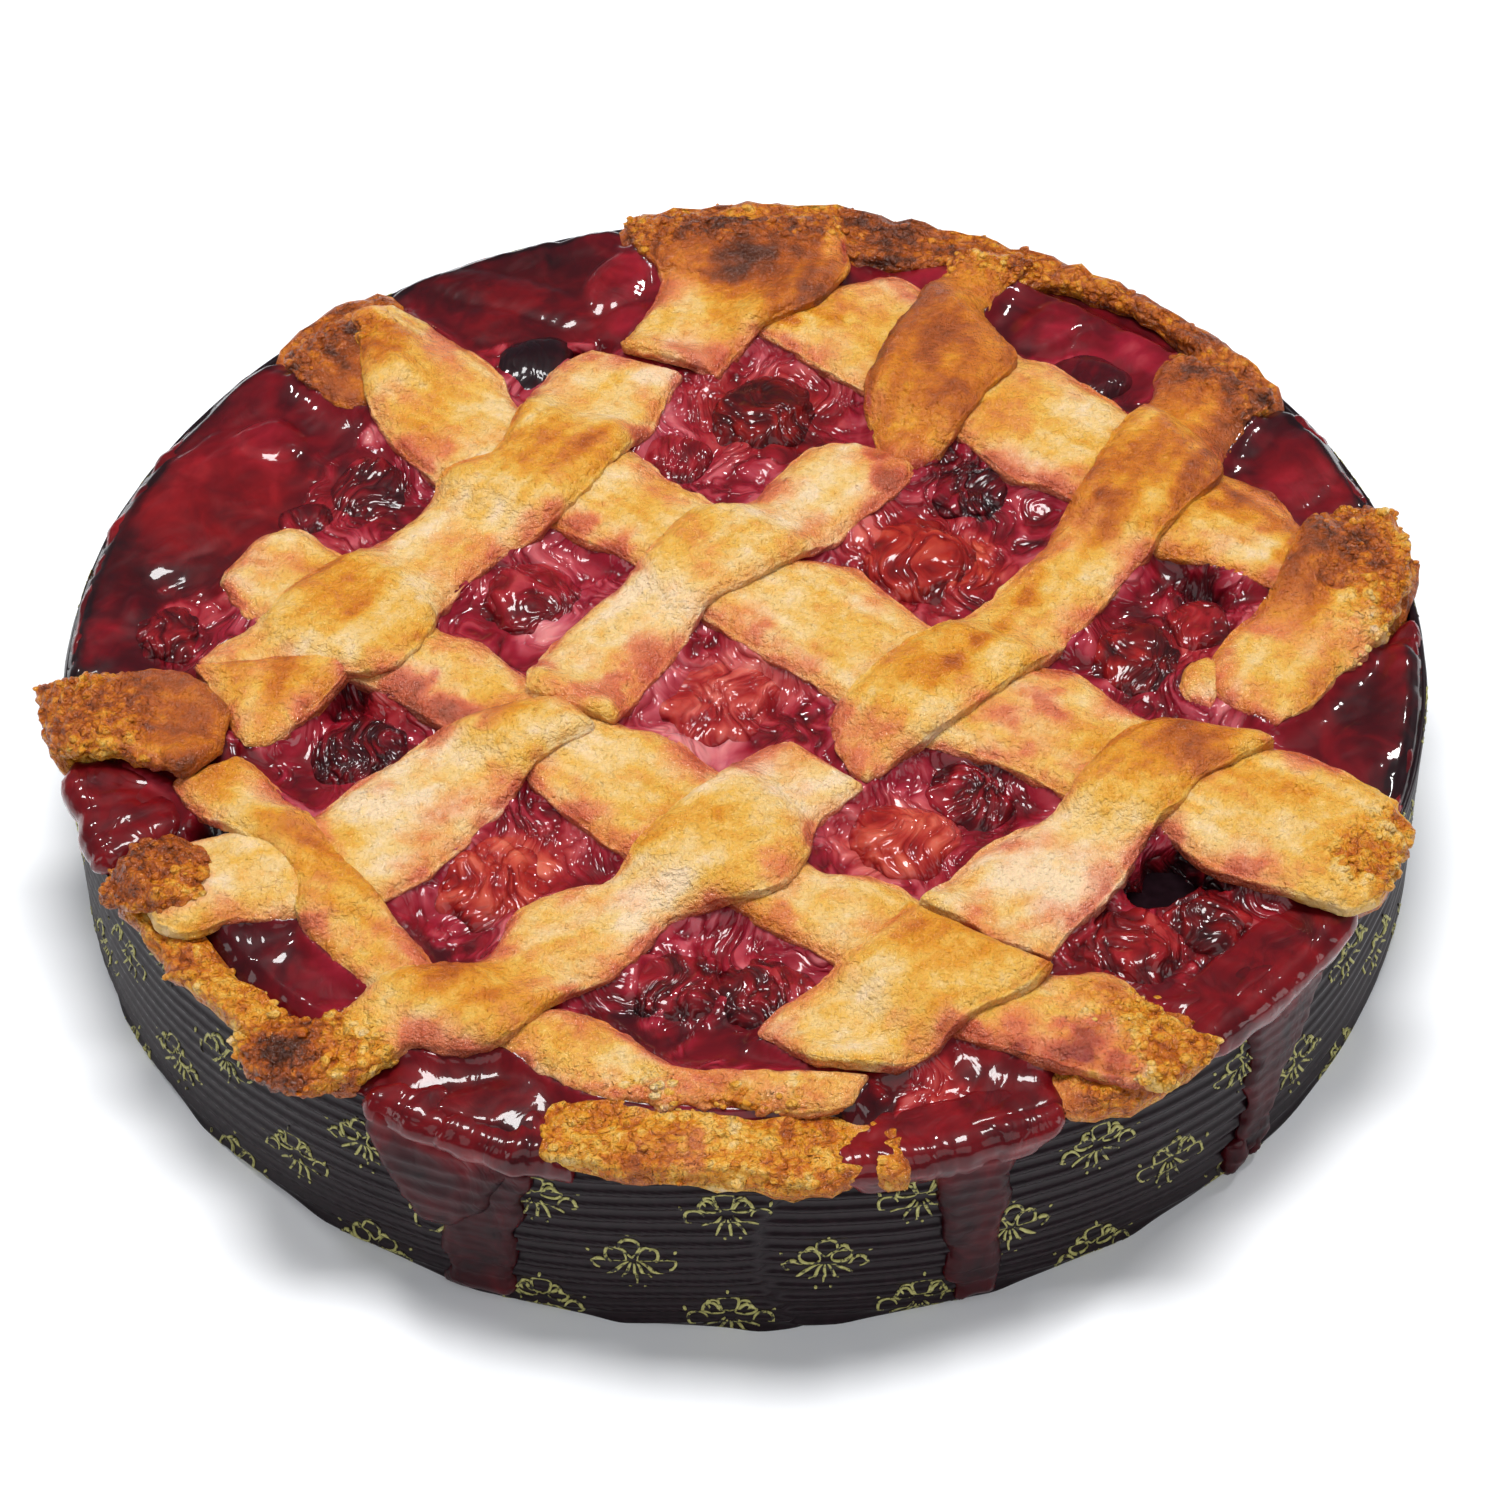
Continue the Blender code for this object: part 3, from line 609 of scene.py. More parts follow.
def lay_strip(name, seed):
    """Rolls out a flat strip, cuts it to its rows and drapes it over what it lies on."""
    node, under, (start_brown, end_brown), rows = STRIPS[name]
    columns = max(7, round(np.mean([math.dist(r[:2], r[2:4]) for r in rows]) / CELL))
    count = max(6, round(strip_length(rows) / CELL))
    strip = add_mesh(bpy.ops.mesh.primitive_grid_add, name,
                     x_subdivisions=columns, y_subdivisions=count, size=2)
    flat = vertex_places(strip)
    across = 0.5 + 0.53 * flat[:, :1]
    step = np.rint((flat[:, 1] + 1) / 2 * count).astype(int)
    fine_rows = smooth_rows(rows, count + 1)
    plan = fine_rows[step, :2] + (fine_rows[step, 2:4] - fine_rows[step, :2]) * across
    ragged = np.stack([noise(points_at(*plan.T, k), 7, seed + k)
                       for k in (0, 5)], axis=1)
    move_vertices(strip, points_at(*(plan + 0.6 * ragged).T))
    apply_modifier(strip, "SOLIDIFY", thickness=STRIP_THICKNESS, offset=0.0)
    apply_modifier(strip, "BEVEL", width=0.75, segments=1, limit_method="ANGLE",
                   angle_limit=math.radians(50))
    apply_modifier(strip, "SUBSURF", levels=2, render_levels=2)

    places = vertex_places(strip)
    normals = vertex_normals(strip)
    middles = (fine_rows[:, :2] + fine_rows[:, 2:4]) / 2
    nearest = np.argmin((places[:, None, 0] - middles[None, :, 0]) ** 2
                        + (places[:, None, 1] - middles[None, :, 1]) ** 2, axis=1)
    along = nearest / count
    course = middles[-1] - middles[0]
    course /= np.linalg.norm(course)
    brushed = points_at(places[:, :2] @ course, places[:, :2] @ (-course[1], course[0]), places[:, 2])
    inside = np.abs(edge_distance(places, OUTLINES[name]))
    side = 1 - smooth_step(0.25, 0.7, np.abs(normals[:, 2]))
    top = smooth_step(0.2, 0.8, normals[:, 2])
    share_up = places[:, 2] / STRIP_THICKNESS + 0.5
    radius = np.hypot(places[:, 0], places[:, 1])
    at_rim = smooth_step(92, 100, radius)

    lift = lift_over(places, under)
    extra = np.convolve(np.pad(fine_rows[:, 4], 2, mode="edge"), np.ones(5) / 5, mode="valid")
    lying = LYING + (ON_RIM - LYING) * smooth_step(92, 98, radius)
    pillow = 0.5 * (1 - np.exp(-inside / 4.0)) - 1.1 * np.exp(-inside / 1.4)
    swell = 0.6 * noise(places * (1, 1, 0), 13, seed + 1)
    swell += 0.3 * noise(brushed * (1, 1, 0), (7, 4, 1), seed + 9)
    shaped = places.copy()
    shaped[:, 2] += lying + STRIP_THICKNESS / 2 + lift + extra[nearest] + share_up * pillow
    shaped[:, 2] += swell * smooth_step(0, 4, inside)
    browning = start_brown + (end_brown - start_brown) * smooth_step(0.1, 0.9, along)
    crumbs = smooth_step(87, 96, radius + 4 * noise(places, 6, seed + 12))
    crumbs *= smooth_step(0.24, 0.4, browning + spots(places, BROWNED))
    rough = 0.2 * noise(shaped, 3.2, seed + 2) + 0.1 * noise(shaped, 1.2, seed + 3)
    flakes = side * 0.45 * noise(shaped, (3.0, 3.0, 0.6), seed + 4)
    crumbled = crumbling(shaped, 2.8, 1.3, (seed, seed + 1))
    shaped += normals * (rough + flakes + crumbs * crumbled)[:, None]
    move_vertices(strip, shaped)

    wobble = layered_noise(shaped, 5.0, seed + 6)
    hump = smooth_step(0.5, 1.0, lift / CROSSING_LIFT)
    streaks = noise(brushed, (18, 2.6, 8), seed + 11)
    # Painted shade: browning is darker in the hollows between the crumbs and paler on their tops
    paint(strip, "browning", browning - 0.02 + 0.07 * hump + spots(places, BROWNED, wobble) * 0.8
          + 0.1 * np.exp(-inside / 1.4) * top + 0.16 * noise(shaped, 12, seed + 7) + 0.16 * streaks
          - 0.16 * crumbs * np.clip(crumbled, -1, 1))
    seep = smooth_step(-0.25, 0.6, layered_noise(shaped, 9, seed + 8))
    # A dark red line is painted where a strip above meets this one: partly juice seeping along the join,
    # partly painted shade under the upper strip's edge
    seep_and_shade_at_crossings = np.zeros(len(places))
    for other, (_, lies_on, _, _) in STRIPS.items():
        if name in lies_on:
            seep_and_shade_at_crossings = np.maximum(seep_and_shade_at_crossings, np.exp(-np.abs(edge_distance(places, OUTLINES[other])) / 1.2))
    wet = (1 - at_rim) * (1 - 0.75 * hump)
    paint(strip, "juice", np.maximum.reduce([
        0.85 * side * smooth_step(1.0, 0.4, share_up) * wet,
        np.exp(-inside / 2.2) * (0.3 + 0.55 * seep) * wet,
        np.exp(-inside / 6.0) * (0.12 + 0.5 * seep) * wet,
        0.4 * seep_and_shade_at_crossings * (0.2 + 0.8 * seep),
        spots(places, SOAKED, wobble) * 0.8]))
    paint(strip, "crumbs", crumbs)
    finish_piece(strip, DOUGH, "pastry", node)


for number, strip_name in enumerate(STRIPS):
    lay_strip(strip_name, number * 3 + 1)


# ---------------------------------------------------------------- cherries and filling

# Whole cherries in the order of the CAD nodes: flesh tone, brick red, spread, wrinkles and top
CHERRIES = (
    (0.32, 0.3, 1.25, 1.0, 36.9), (0.3, 0.2, 1.2, 0.9, 36.7), (0.36, 0.7, 1.05, 0.1, 35.8),
    (0.34, 0.4, 1.3, 1.0, 37.0), (-0.2, 0.0, 1.3, 0.25, 38.0), (0.5, 0.3, 1.15, 0.8, 37.6),
    (0.24, 1.0, 1.4, 1.0, 38.2), (0.5, 0.3, 1.35, 1.0, 37.8), (0.5, 1.0, 1.4, 0.9, 38.4),
    (0.2, 0.0, 1.6, 1.3, 37.2), (0.72, 0.7, 1.5, 1.2, 37.5), (0.31, 0.7, 1.3, 1.0, 37.6),
    (0.44, 0.5, 1.25, 0.9, 37.3), (0.68, 0.9, 1.3, 0.9, 38.0), (0.38, 0.3, 1.35, 1.2, 37.1),
    (0.3, 0.1, 1.3, 1.2, 37.4), (0.6, 0.9, 1.5, 1.0, 37.8), (0.4, 0.3, 1.35, 1.2, 37.3),
    (0.4, 0.4, 1.35, 1.2, 37.5), (0.44, 0.6, 1.4, 1.0, 37.4), (0.26, 0.6, 1.35, 1.2, 36.9),
    (0.2, 0.0, 1.15, 0.4, 37.8),
)
# Paler and darker parts of the filling, and its brick red parts: x, y, radius, amount
TONED = (
    (-8, -21, 9, 0.5), (-1, -11, 9, 0.26), (-6, -2, 4, -0.15), (-30, 3, 6, 0.3), (-38, 2, 5, -0.06),
    (42, 30, 7, -0.16), (37, 38, 9, -0.25), (47, 24, 6, -0.12), (28, 18, 9, 0.06), (36, 16, 6, 0.1),
    (64, 0, 8, -0.06), (59, -8, 8, -0.06), (-5, -26, 6, 0.2), (-45, 78, 8, -0.08), (-92, -36, 8, -0.08),
    (60, 68, 12, 0.14), (98, -12, 12, -0.06), (72, -66, 10, -0.1), (70, 10, 6, -0.22),
    (50, -4, 5, -0.05), (20, -43, 9, 0.2), (14, -41, 6, 0.14), (33, -32, 8, -0.14), (-32, -46, 8, 0.12),
    (-38, -50, 7, 0.2), (-42, -55, 6, 0.2), (-35, -34, 7, -0.12), (-57, -15, 9, -0.14),
    (-10, -67, 14, -0.1), (-4, 34, 9, 0.0), (10, 42, 8, -0.1), (-10, 45, 7, 0.15), (52, -66, 9, -0.12),
    (68, -60, 9, -0.24), (-86, 2, 9, -0.06), (-60, 34, 10, -0.1), (56, 58, 6, -0.15), (-76, 48, 8, 0.1),
    (-84, 34, 14, 0.06), (60, 70, 12, 0.06), (98, -12, 14, -0.1), (92, -34, 10, -0.06),
    (-40, 78, 10, -0.06), (26, -92, 10, -0.06), (-68, -62, 8, -0.04),
)
BRICK = (
    (4, 53, 12, 0.8), (28, 17, 12, 0.9), (36, 16, 7, 0.7), (0, -11, 9, 0.6), (22, -43, 9, 0.7),
    (-32, -46, 8, 0.8), (64, -4, 9, 0.4), (52, -66, 9, 0.4), (68, -60, 8, 0.4), (-52, -12, 6, 0.5),
    (-84, 30, 22, 0.45), (-36, 84, 20, 0.3), (98, -10, 20, 0.25), (70, -78, 16, 0.3), (30, -96, 20, 0.5),
    (-40, -92, 14, 0.4), (-92, -36, 9, 0.3), (90, 34, 12, 0.2),
)


def cherry_size(number):
    """Middle and radius of a whole cherry's CAD node in millimetres."""
    low, high = (np.array(corner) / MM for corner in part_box(f"cherry_{number:02d}"))
    return (low + high) / 2, (high[0] - low[0]) / 2


def bent_places(points, amount, size, seed):
    """Points moved about by noise, so that what is laid out on them wanders."""
    return points + amount * np.stack([noise(points, size, seed + k) for k in range(3)], axis=1)


def lobes(points, size, seed):
    """Rounded lobes between sharp creases, from -1 in the creases to about 1."""
    return 2.6 * np.abs(noise(bent_places(points, 0.35 * size, size, seed + 1), size, seed)) - 1


def skins(points, seed):
    """Slack fruit skin in long rounded folds that wander, from -1 in the creases to about 1."""
    x, y, z = bent_places(points, 3.5, 11, seed + 1).T
    course = points_at(0.6 * x + 0.8 * y, 0.8 * x - 0.6 * y, z)
    creases = 2.4 * np.abs(noise(course, (7, 3.6, 5), seed + 5)) - 1
    return 0.6 * noise(course, (9, 2.8, 5), seed) + 0.6 * creases


def build_cherry(number, flesh, brick, spread, wrinkled, top):
    """A whole cherry, slumped and with its skin shrunk into wrinkles by the oven."""
    node = f"cherry_{number:02d}"
    centre, radius = cherry_size(number)
    cherry = add_mesh(bpy.ops.mesh.primitive_ico_sphere_add, f"baked_{node}",
                      subdivisions=6 if spread > 1.37 else 5, radius=radius)
    places = vertex_places(cherry)
    outward = places / radius
    turn = random.uniform(0, math.pi)
    stretch = 1 + 0.12 * (outward[:, 0] * math.cos(turn) + outward[:, 1] * math.sin(turn)) ** 2
    world = places * (spread, spread, 1) + centre
    folds = 0.7 * skins(world, number) + 0.5 * lobes(world, 6.5, number + 60)
    creases = noise(world, 2.4, number + 30)
    dent = np.exp(-(outward[:, 0] ** 2 + outward[:, 1] ** 2) / 0.16) * (outward[:, 2] > 0)
    swell = wrinkled * (0.65 * folds + 0.15 * creases - 0.5 - dent) + 1.2 * noise(world, 8, number)
    places += outward * swell[:, None]
    places *= points_at(spread * stretch, spread * stretch, 0.72)
    places += centre
    places[:, 2] += top - places[:, 2].max()
    move_vertices(cherry, places)
    sunk = smooth_step(0.75, 0.1, outward[:, 2])
    # Painted shade: the creases of the folds are painted darker than their ridges
    tone = flesh * (1 - 0.3 * sunk) + wrinkled * 0.14 * folds + 0.16 * noise(world, 6, 8)
    paint(cherry, "flesh", np.maximum(tone, min(flesh, 0.18)))
    paint(cherry, "brick", brick * (1 - 0.5 * sunk))
    paint(cherry, "pulp", np.full(len(world), min(0.8 * wrinkled, 1.0)))
    finish_piece(cherry, FILLING, "cherry", node)


for number, cherry_look in enumerate(CHERRIES, 1):
    build_cherry(number, *cherry_look)

# Thick juice that dried into smooth raised lobes: x, y, half width, half length, turn, height
LOBES = (
    (-84, 34, 13, 24, 25, 2.2), (-76, 48, 7, 7, 0, 3.2), (-84, 42, 4, 6, 20, 1.4),
    (-96, 8, 7, 16, 5, 1.4), (-86, 22, 9, 7, 0, 1.2), (-60, 41, 5, 5, 0, 0.8), (-38, 84, 18, 6, 22, 2.0),
    (-20, 86, 6, 9, 20, 2.6), (-40, 76, 12, 6, 20, 1.4), (-18, 76, 5, 7, 0, 1.6),
    (31, 85, 7, 6, -30, 1.8), (52, 73, 10, 6, -35, 2.0), (66, 66, 7, 7, -45, 1.8),
    (60, 57, 6, 5, -45, 1.0), (89, 36, 8, 13, 25, 2.0), (84, 42, 5, 6, 25, 1.0),
    (99, -14, 5, 20, 15, 1.4), (93, -28, 8, 10, 20, 1.6), (92, -6, 5, 9, 20, 1.0),
    (84, -60, 7, 9, 30, 1.5), (74, -74, 8, 8, 40, 1.8), (63, -82, 9, 5, 35, 1.4),
    (30, -97, 12, 5, 15, 1.6), (12, -99, 7, 5, 0, 1.4), (-38, -93, 12, 6, -20, 1.8),
    (-47, -86, 6, 5, -30, 1.6), (-28, -96, 6, 5, -10, 1.2), (-69, -63, 10, 3, -38, 1.0),
    (-93, -34, 8, 9, 30, 2.4),
)
# Where fruit shows through the thick juice: x, y, radius, amount
PULPY = (
    (57, -62, 12, 3), (69, -56, 10, 3), (-58, 32, 12, 2), (-86, 2, 9, 2), (-48, -78, 5, 1),
    (56, 60, 7, 2), (24, -94, 8, 1.5), (-6, -66, 14, 3), (-88, 12, 6, 1),
)
# Where the filling reaches the paper's edge, by angle in degrees
OPEN_EDGES = ((138, 183), (101, 124), (15, 30), (337, 358), (308, 325), (279, 295), (237, 253), (194, 206))
# Hollows under the lattice where steam got out: x, y, radius, depth
HOLLOWS = (
    (-78, -41, 5, 7), (63, -50, 5, 9), (58.5, -54, 3.5, 8), (69, -52, 3, 7), (52, -59.5, 2, 7),
    (82, -30, 2.4, 6), (-24, 67, 3.5, 6), (10, -96, 1.8, 5), (34, 44, 4, 3), (-60, -12, 5, 3),
    (-16, -64, 4, 2.5), (72, 8, 5, 2.5), (56, 56, 5, 2),
)


def open_edge(degrees):
    """Share from 0 to 1 of the filling that reaches the paper's edge at each angle."""
    share = np.zeros(len(degrees))
    for start, end in OPEN_EDGES:
        share = np.maximum(share, smooth_step(start - 2.5, start + 1.5, degrees)
                           * (1 - smooth_step(end - 1.5, end + 2.5, degrees)))
    return share


def soft_maximum(first, second, softness):
    """The greater of two heights, rounded off where they meet."""
    return softness * np.logaddexp(first / softness, second / softness)


def sunk_cherries(x, y):
    """Height of the domes that cherries under the surface make at each place."""
    scatter = random.Random(5)
    lumps = np.full(len(x), -9.0)
    for row, column in itertools.product(range(-9, 10), repeat=2):
        cx = column * 13 + (row % 2) * 6.5 + scatter.uniform(-5, 5)
        cy = row * 11 + scatter.uniform(-4, 4)
        size = scatter.uniform(5, 10)
        top = scatter.uniform(-0.5, 2.0)
        flatness = scatter.uniform(0.35, 0.6)
        if math.hypot(cx, cy) < 92:
            away = ((x - cx) ** 2 + (y - cy) ** 2) / size ** 2
            lumps = np.maximum(lumps, top + flatness * size * (np.sqrt(np.clip(1 - away, 0, 1)) - 1))
    return lumps


def thick_juice(x, y, flat):
    """Height of the thick juice: smooth lobes, a ring inside the rim, and slack folds."""
    juice = np.full(len(x), -2.0)
    for cx, cy, half_width, half_length, turn, height in LOBES:
        angle = math.radians(-turn)
        right = (x - cx) * math.cos(angle) + (y - cy) * math.sin(angle)
        ahead = -(x - cx) * math.sin(angle) + (y - cy) * math.cos(angle)
        away = np.sqrt((right / half_width) ** 2 + (ahead / half_length) ** 2) + 0.1 * noise(flat, 9, 21)
        juice = np.maximum(juice, 0.8 * height * (1.25 - 1.25 * np.clip(away, 0, None) ** 2.2))
    shore = np.hypot(x, y) + 3 * noise(flat, 8, 44)
    juice = np.maximum(juice, 0.6 * smooth_step(78, 88, shore) - 2 * (1 - smooth_step(70, 80, shore)))
    slack = smooth_step(-0.3, 0.4, noise(flat, 20, 33))
    juice += 0.5 * noise(flat, (14, 9, 9), 30) + 0.6 * slack * skins(0.7 * flat, 31)
    juice += 0.22 * skins(1.5 * flat, 35)
    return juice - spots(flat, PULPY, 0.5 * noise(flat, 7, 32))


# Level of the filling, its level under the strips, the top of a cherry that is sunk in it,
# how far inside the paper it ends, and the cells of its disc each way
FILLING_LEVEL = 35.1
UNDER_STRIPS = 37.1
SUNK_CHERRY_TOP = 36
FILLING_GAP = 0.9
FILLING_CELLS = 304


def build_filling():
    """Pours the filling as a disc, lets cherries swell it, and lets thick juice run over them."""
    filling = add_mesh(bpy.ops.mesh.primitive_grid_add, "filling_surface",
                       x_subdivisions=FILLING_CELLS, y_subdivisions=FILLING_CELLS, size=2)
    square = vertex_places(filling)
    u, v = square[:, 0], square[:, 1]
    rim = MOULD_RADIUS - FILLING_GAP
    plan = rim * np.column_stack([u * np.sqrt(1 - v * v / 2), v * np.sqrt(1 - u * u / 2)])
    x, y = plan[:, 0], plan[:, 1]
    radius = np.hypot(x, y)
    degrees = np.degrees(np.arctan2(y, x)) % 360
    flat = points_at(x, y)

    bx = x + 2.4 * noise(flat, 8, 61)
    by = y + 2.4 * noise(flat, 8, 62)
    folds = lobes(flat, 8, 3)
    creases = skins(flat, 9)
    pulpy = soft_maximum(sunk_cherries(bx, by), -0.4, 0.6) + 0.45 * folds + 0.6 * creases
    bath = -0.9 + 0.9 * noise(flat, 14, 14) + 0.25 * creases
    swollen = soft_maximum(pulpy, bath, 0.12)
    juice = thick_juice(x, y, flat)
    level = soft_maximum(swollen, juice, 0.4)
    depth = np.zeros(len(x))
    for cx, cy, size, down in HOLLOWS:
        hollow = np.hypot(bx - cx, by - cy) / size + 0.25 * noise(flat, 3, 77)
        depth = np.maximum(depth, down * (1 - smooth_step(0.4, 1.15, hollow)))
    for number, (_, _, spread, _, top) in enumerate(CHERRIES, 1):
        if top < SUNK_CHERRY_TOP:
            continue
        middle, size = cherry_size(number)
        beside = np.hypot(x - middle[0], y - middle[1]) / (size * spread)
        level = np.minimum(level, -0.5 + 2.8 * smooth_step(0.4, 0.85, beside))
    level -= depth

    covered = np.full(len(x), -99.0)
    for outline in OUTLINES.values():
        covered = np.maximum(covered, edge_distance(plan, outline))
    creep = np.exp(-np.abs(np.minimum(covered, 0)) / 2.0) * (1 - smooth_step(1, 4, depth))
    bank = 2.8 + 0.7 * noise(flat, 9, 51)
    height = FILLING_LEVEL + level * (1 - 0.7 * creep) + bank * creep
    height = np.where(covered > 0, np.where(covered > 1.3, UNDER_STRIPS, FILLING_LEVEL + bank), height)
    reaches = open_edge(degrees)
    on_rim = smooth_step(95.5, 99.5, radius)
    over = 35.5 + 0.8 * level * (level > 0) + 0.3 * noise(flat, 7, 50)
    height = height * (1 - on_rim) + on_rim * (reaches * np.minimum(over, 37.2) + (1 - reaches) * 33.6)
    height -= 1.3 * smooth_step(101.5, rim, radius) ** 2
    move_vertices(filling, points_at(x, y, height))

    crest = smooth_step(-0.1, 0.9, pulpy - bath)
    showing = smooth_step(0.0, 0.9, swollen - juice)
    region = noise(flat, 17, 60)
    # Fruit that shows is paler on its crests, partly its own paler flesh and partly painted light, and the
    # folds and creases on it add painted shade in their hollows
    tone = 0.22 + showing * (0.16 + crest * (0.18 + 0.1 * folds + 0.12 * creases) + 0.2 * region)
    tone += (1 - showing) * (0.12 * smooth_step(0.4, 1.6, juice) + 0.2 * noise(flat, 16, 64))
    burnt = smooth_step(101, 103, radius + noise(flat, 4, 65)) * (1 - showing) * smooth_step(-60, -30, y)
    tone += 0.16 * creep * (covered < 0) - 0.36 * burnt
    blotch = 0.6 * noise(flat, 5, 66)
    tone += spots(flat, TONED, blotch)
    # Painted shade: the filling is painted dark down in the deep hollows
    paint(filling, "flesh", tone * (1 - smooth_step(1.5, 5, depth)))
    paint(filling, "brick", 0.1 + spots(flat, BRICK, blotch))
    paint(filling, "pulp", 0.06 + showing * (0.25 + 0.65 * crest))

    bpy.ops.object.mode_set(mode="EDIT")
    bpy.ops.mesh.select_mode(type="EDGE")
    select_open_edges()
    bpy.ops.mesh.extrude_edges_move(TRANSFORM_OT_translate={"value": (0, 0, -6)})
    bpy.ops.transform.resize(value=(0.98, 0.98, 1), center_override=(0, 0, 0))
    bpy.ops.mesh.fill_holes(sides=0)
    bpy.ops.object.mode_set(mode="OBJECT")
    finish_piece(filling, FILLING, "filling", "cherry_filling")


build_filling()

RIB_PITCH = MOULD_HEIGHT / 12
RIB_DEPTH = 0.65


def rib_slope_drop(along):
    """How far a rib has sunk at a distance from the lap, as the paper was rolled at a slant."""
    left = np.clip(-along, 0, None)
    right = np.clip(along, 0, None)
    sunk_left = 0.145 * np.minimum(left, 32) + 0.11 * np.clip(left - 32, 0, 98)
    fading = np.clip(left - 130, 0, 70)
    sunk_left += 0.11 * (fading - fading ** 2 / 140)
    fading = np.clip(right - 60, 0, 50)
    sunk_right = 0.125 * np.minimum(right, 60) + 0.125 * (fading - fading ** 2 / 100)
    span = math.pi * MOULD_RADIUS
    ends = 19.27 - 10.63 - 3 * RIB_PITCH
    return sunk_left - ends * smooth_step(100, span, left) + sunk_right


def lap_line(height):
    """Distance along the wall of the paper's lapped edge at a height."""
    return np.interp(height, (1, 6, 12, 20, 24, 28, 31, 34), (5.5, 3, 0.8, 0, 0.6, 2, 4, 5))


def wall_relief(along, height):
    """How far the ribbed wall stands out from the mould's plain radius."""
    phase = (height + rib_slope_drop(along)) / RIB_PITCH
    beyond_lap = along - lap_line(height)
    phase = phase + 0.5 * (beyond_lap > 0)
    beside_crest = np.abs(phase - np.rint(phase))
    ribs = RIB_DEPTH * (0.72 * np.exp(-(beside_crest / 0.17) ** 2) - 0.28 * beside_crest / 0.5 - 0.72)
    lap = 0.45 * (1 - smooth_step(-0.3, 0.6, beyond_lap)) * smooth_step(-14, -2, beyond_lap)
    plan = points_at(along, height)
    return ribs + lap + 0.35 * noise(plan, (45, 30, 10), 71) + 0.12 * noise(plan, (9, 14, 9), 72)


def round_mould(along, radius, height):
    """Places at a distance along the wall, which starts at the front and goes right."""
    angle = along / MOULD_RADIUS
    return points_at(radius * np.sin(angle), -radius * np.cos(angle), height)


def on_wall(along, height, proud=0.0):
    return round_mould(along, MOULD_RADIUS - 0.1 + wall_relief(along, height) + proud, height)


# Juice that boiled over the rim and ran down the mould. Each row is the
# distance past the rim's edge, the start and end along it, the thickness and the depth of its wrinkles
RUNS = {
    "run_front_left": (
        (-9, -50, -36, 0.3, 0.4), (-5, -54, -31, 0.9, 1.0), (-1, -57.5, -27, 1.3, 1.3),
        (2, -58.5, -25.5, 1.5, 1.1), (4, -56, -25.5, 1.2, 0.7), (6, -50, -26.5, 0.6, 0.3)),
    "drip_front_left": (
        (0, -57, -34, 0.5, 0.4), (5, -57.5, -35, 1.3, 0.5), (10, -56, -36.5, 1.7, 0.4),
        (15, -53, -39, 1.8, 0.3), (19, -50.5, -42, 1.8, 0.2), (22, -48.5, -44.5, 1.3, 0.1)),
    "film_front_left": (
        (5, -48, -32, 0.3, 0.2), (13, -47, -34, 0.35, 0.25), (22, -46, -35.5, 0.4, 0.25),
        (30, -46, -36, 0.45, 0.25), (33, -47, -36, 0.7, 0.2), (36, -46.5, -37, 0.6, 0.2)),
    "run_front_right": (
        (-8, 14, 38, 0.3, 0.3), (-4, 11, 41, 0.7, 0.5), (-1, 9, 44, 1.0, 0.6), (1.5, 10, 45, 1.2, 0.6),
        (4, 13, 42, 1.0, 0.5), (7, 16, 38, 0.6, 0.3)),
    "drip_front_right": (
        (2, 25.5, 38, 0.9), (8, 26, 37, 0.9), (16, 27, 36, 0.8), (24, 27.5, 35.3, 1.0),
        (31, 28, 35, 0.9), (35.5, 28.5, 35.2, 1.1)),
    "run_right": (
        (-9, 74, 98, 0.3), (-5, 70, 102, 0.9), (-1, 66, 105, 1.4), (1.5, 66, 105, 1.7),
        (4, 70, 101, 1.4), (6, 76, 95, 0.8)),
    "film_right": (
        (3, 78.5, 96, 0.5), (8, 79, 94, 0.45), (14, 79.5, 92, 0.4), (20, 79.5, 88, 0.4),
        (28, 79, 85.5, 0.4), (35, 78.5, 84.5, 0.45)),
    "foot_right_a": (
        (29, 76, 79.5, 0.8), (32, 75.5, 80, 1.4), (35.5, 76, 79.5, 1.1)),
    "foot_right_b": (
        (31, 81, 83, 0.8), (34, 80.5, 83.5, 1.2), (35.5, 81, 83, 0.8)),
    "run_left": (
        (-15.5, -134, -123, 0.9, 0.3), (-11, -138, -120.5, 2.2, 0.4), (-5, -141, -118, 2.8, 0.5),
        (0, -141, -117.5, 2.4, 0.4), (2.5, -137, -120, 1.5, 0.3), (4, -132, -124, 0.6, 0.3)),
    "run_side": (
        (-5, 128, 162, 0.2, 0.3), (-2, 125, 166, 0.5, 0.4), (0, 124, 167, 0.6, 0.4),
        (1.4, 128, 163, 0.4, 0.4)),
    "run_back_right": (
        (-5, 197, 213, 0.2, 0.3), (-2, 194, 217, 0.6, 0.4), (0, 194, 217, 0.8, 0.4),
        (1.8, 199, 212, 0.5, 0.4)),
    "run_back": (
        (-6, 275, 303, 0.3, 0.3), (-3, 271, 307, 0.8, 0.4), (-0.5, 270, 308, 1.0, 0.4),
        (1.4, 275, 302, 0.6, 0.4)),
    "run_far_left": (
        (-5, -212, -169, 0.2, 0.3), (-2, -219, -163, 0.5, 0.4), (0, -219, -163, 0.7, 0.4),
        (1.5, -214, -168, 0.5, 0.4)),
}
# How far a run takes to turn over the rim's edge, and the cells it is made of
EDGE_TURN = 2.2
RUN_CELL = 0.42


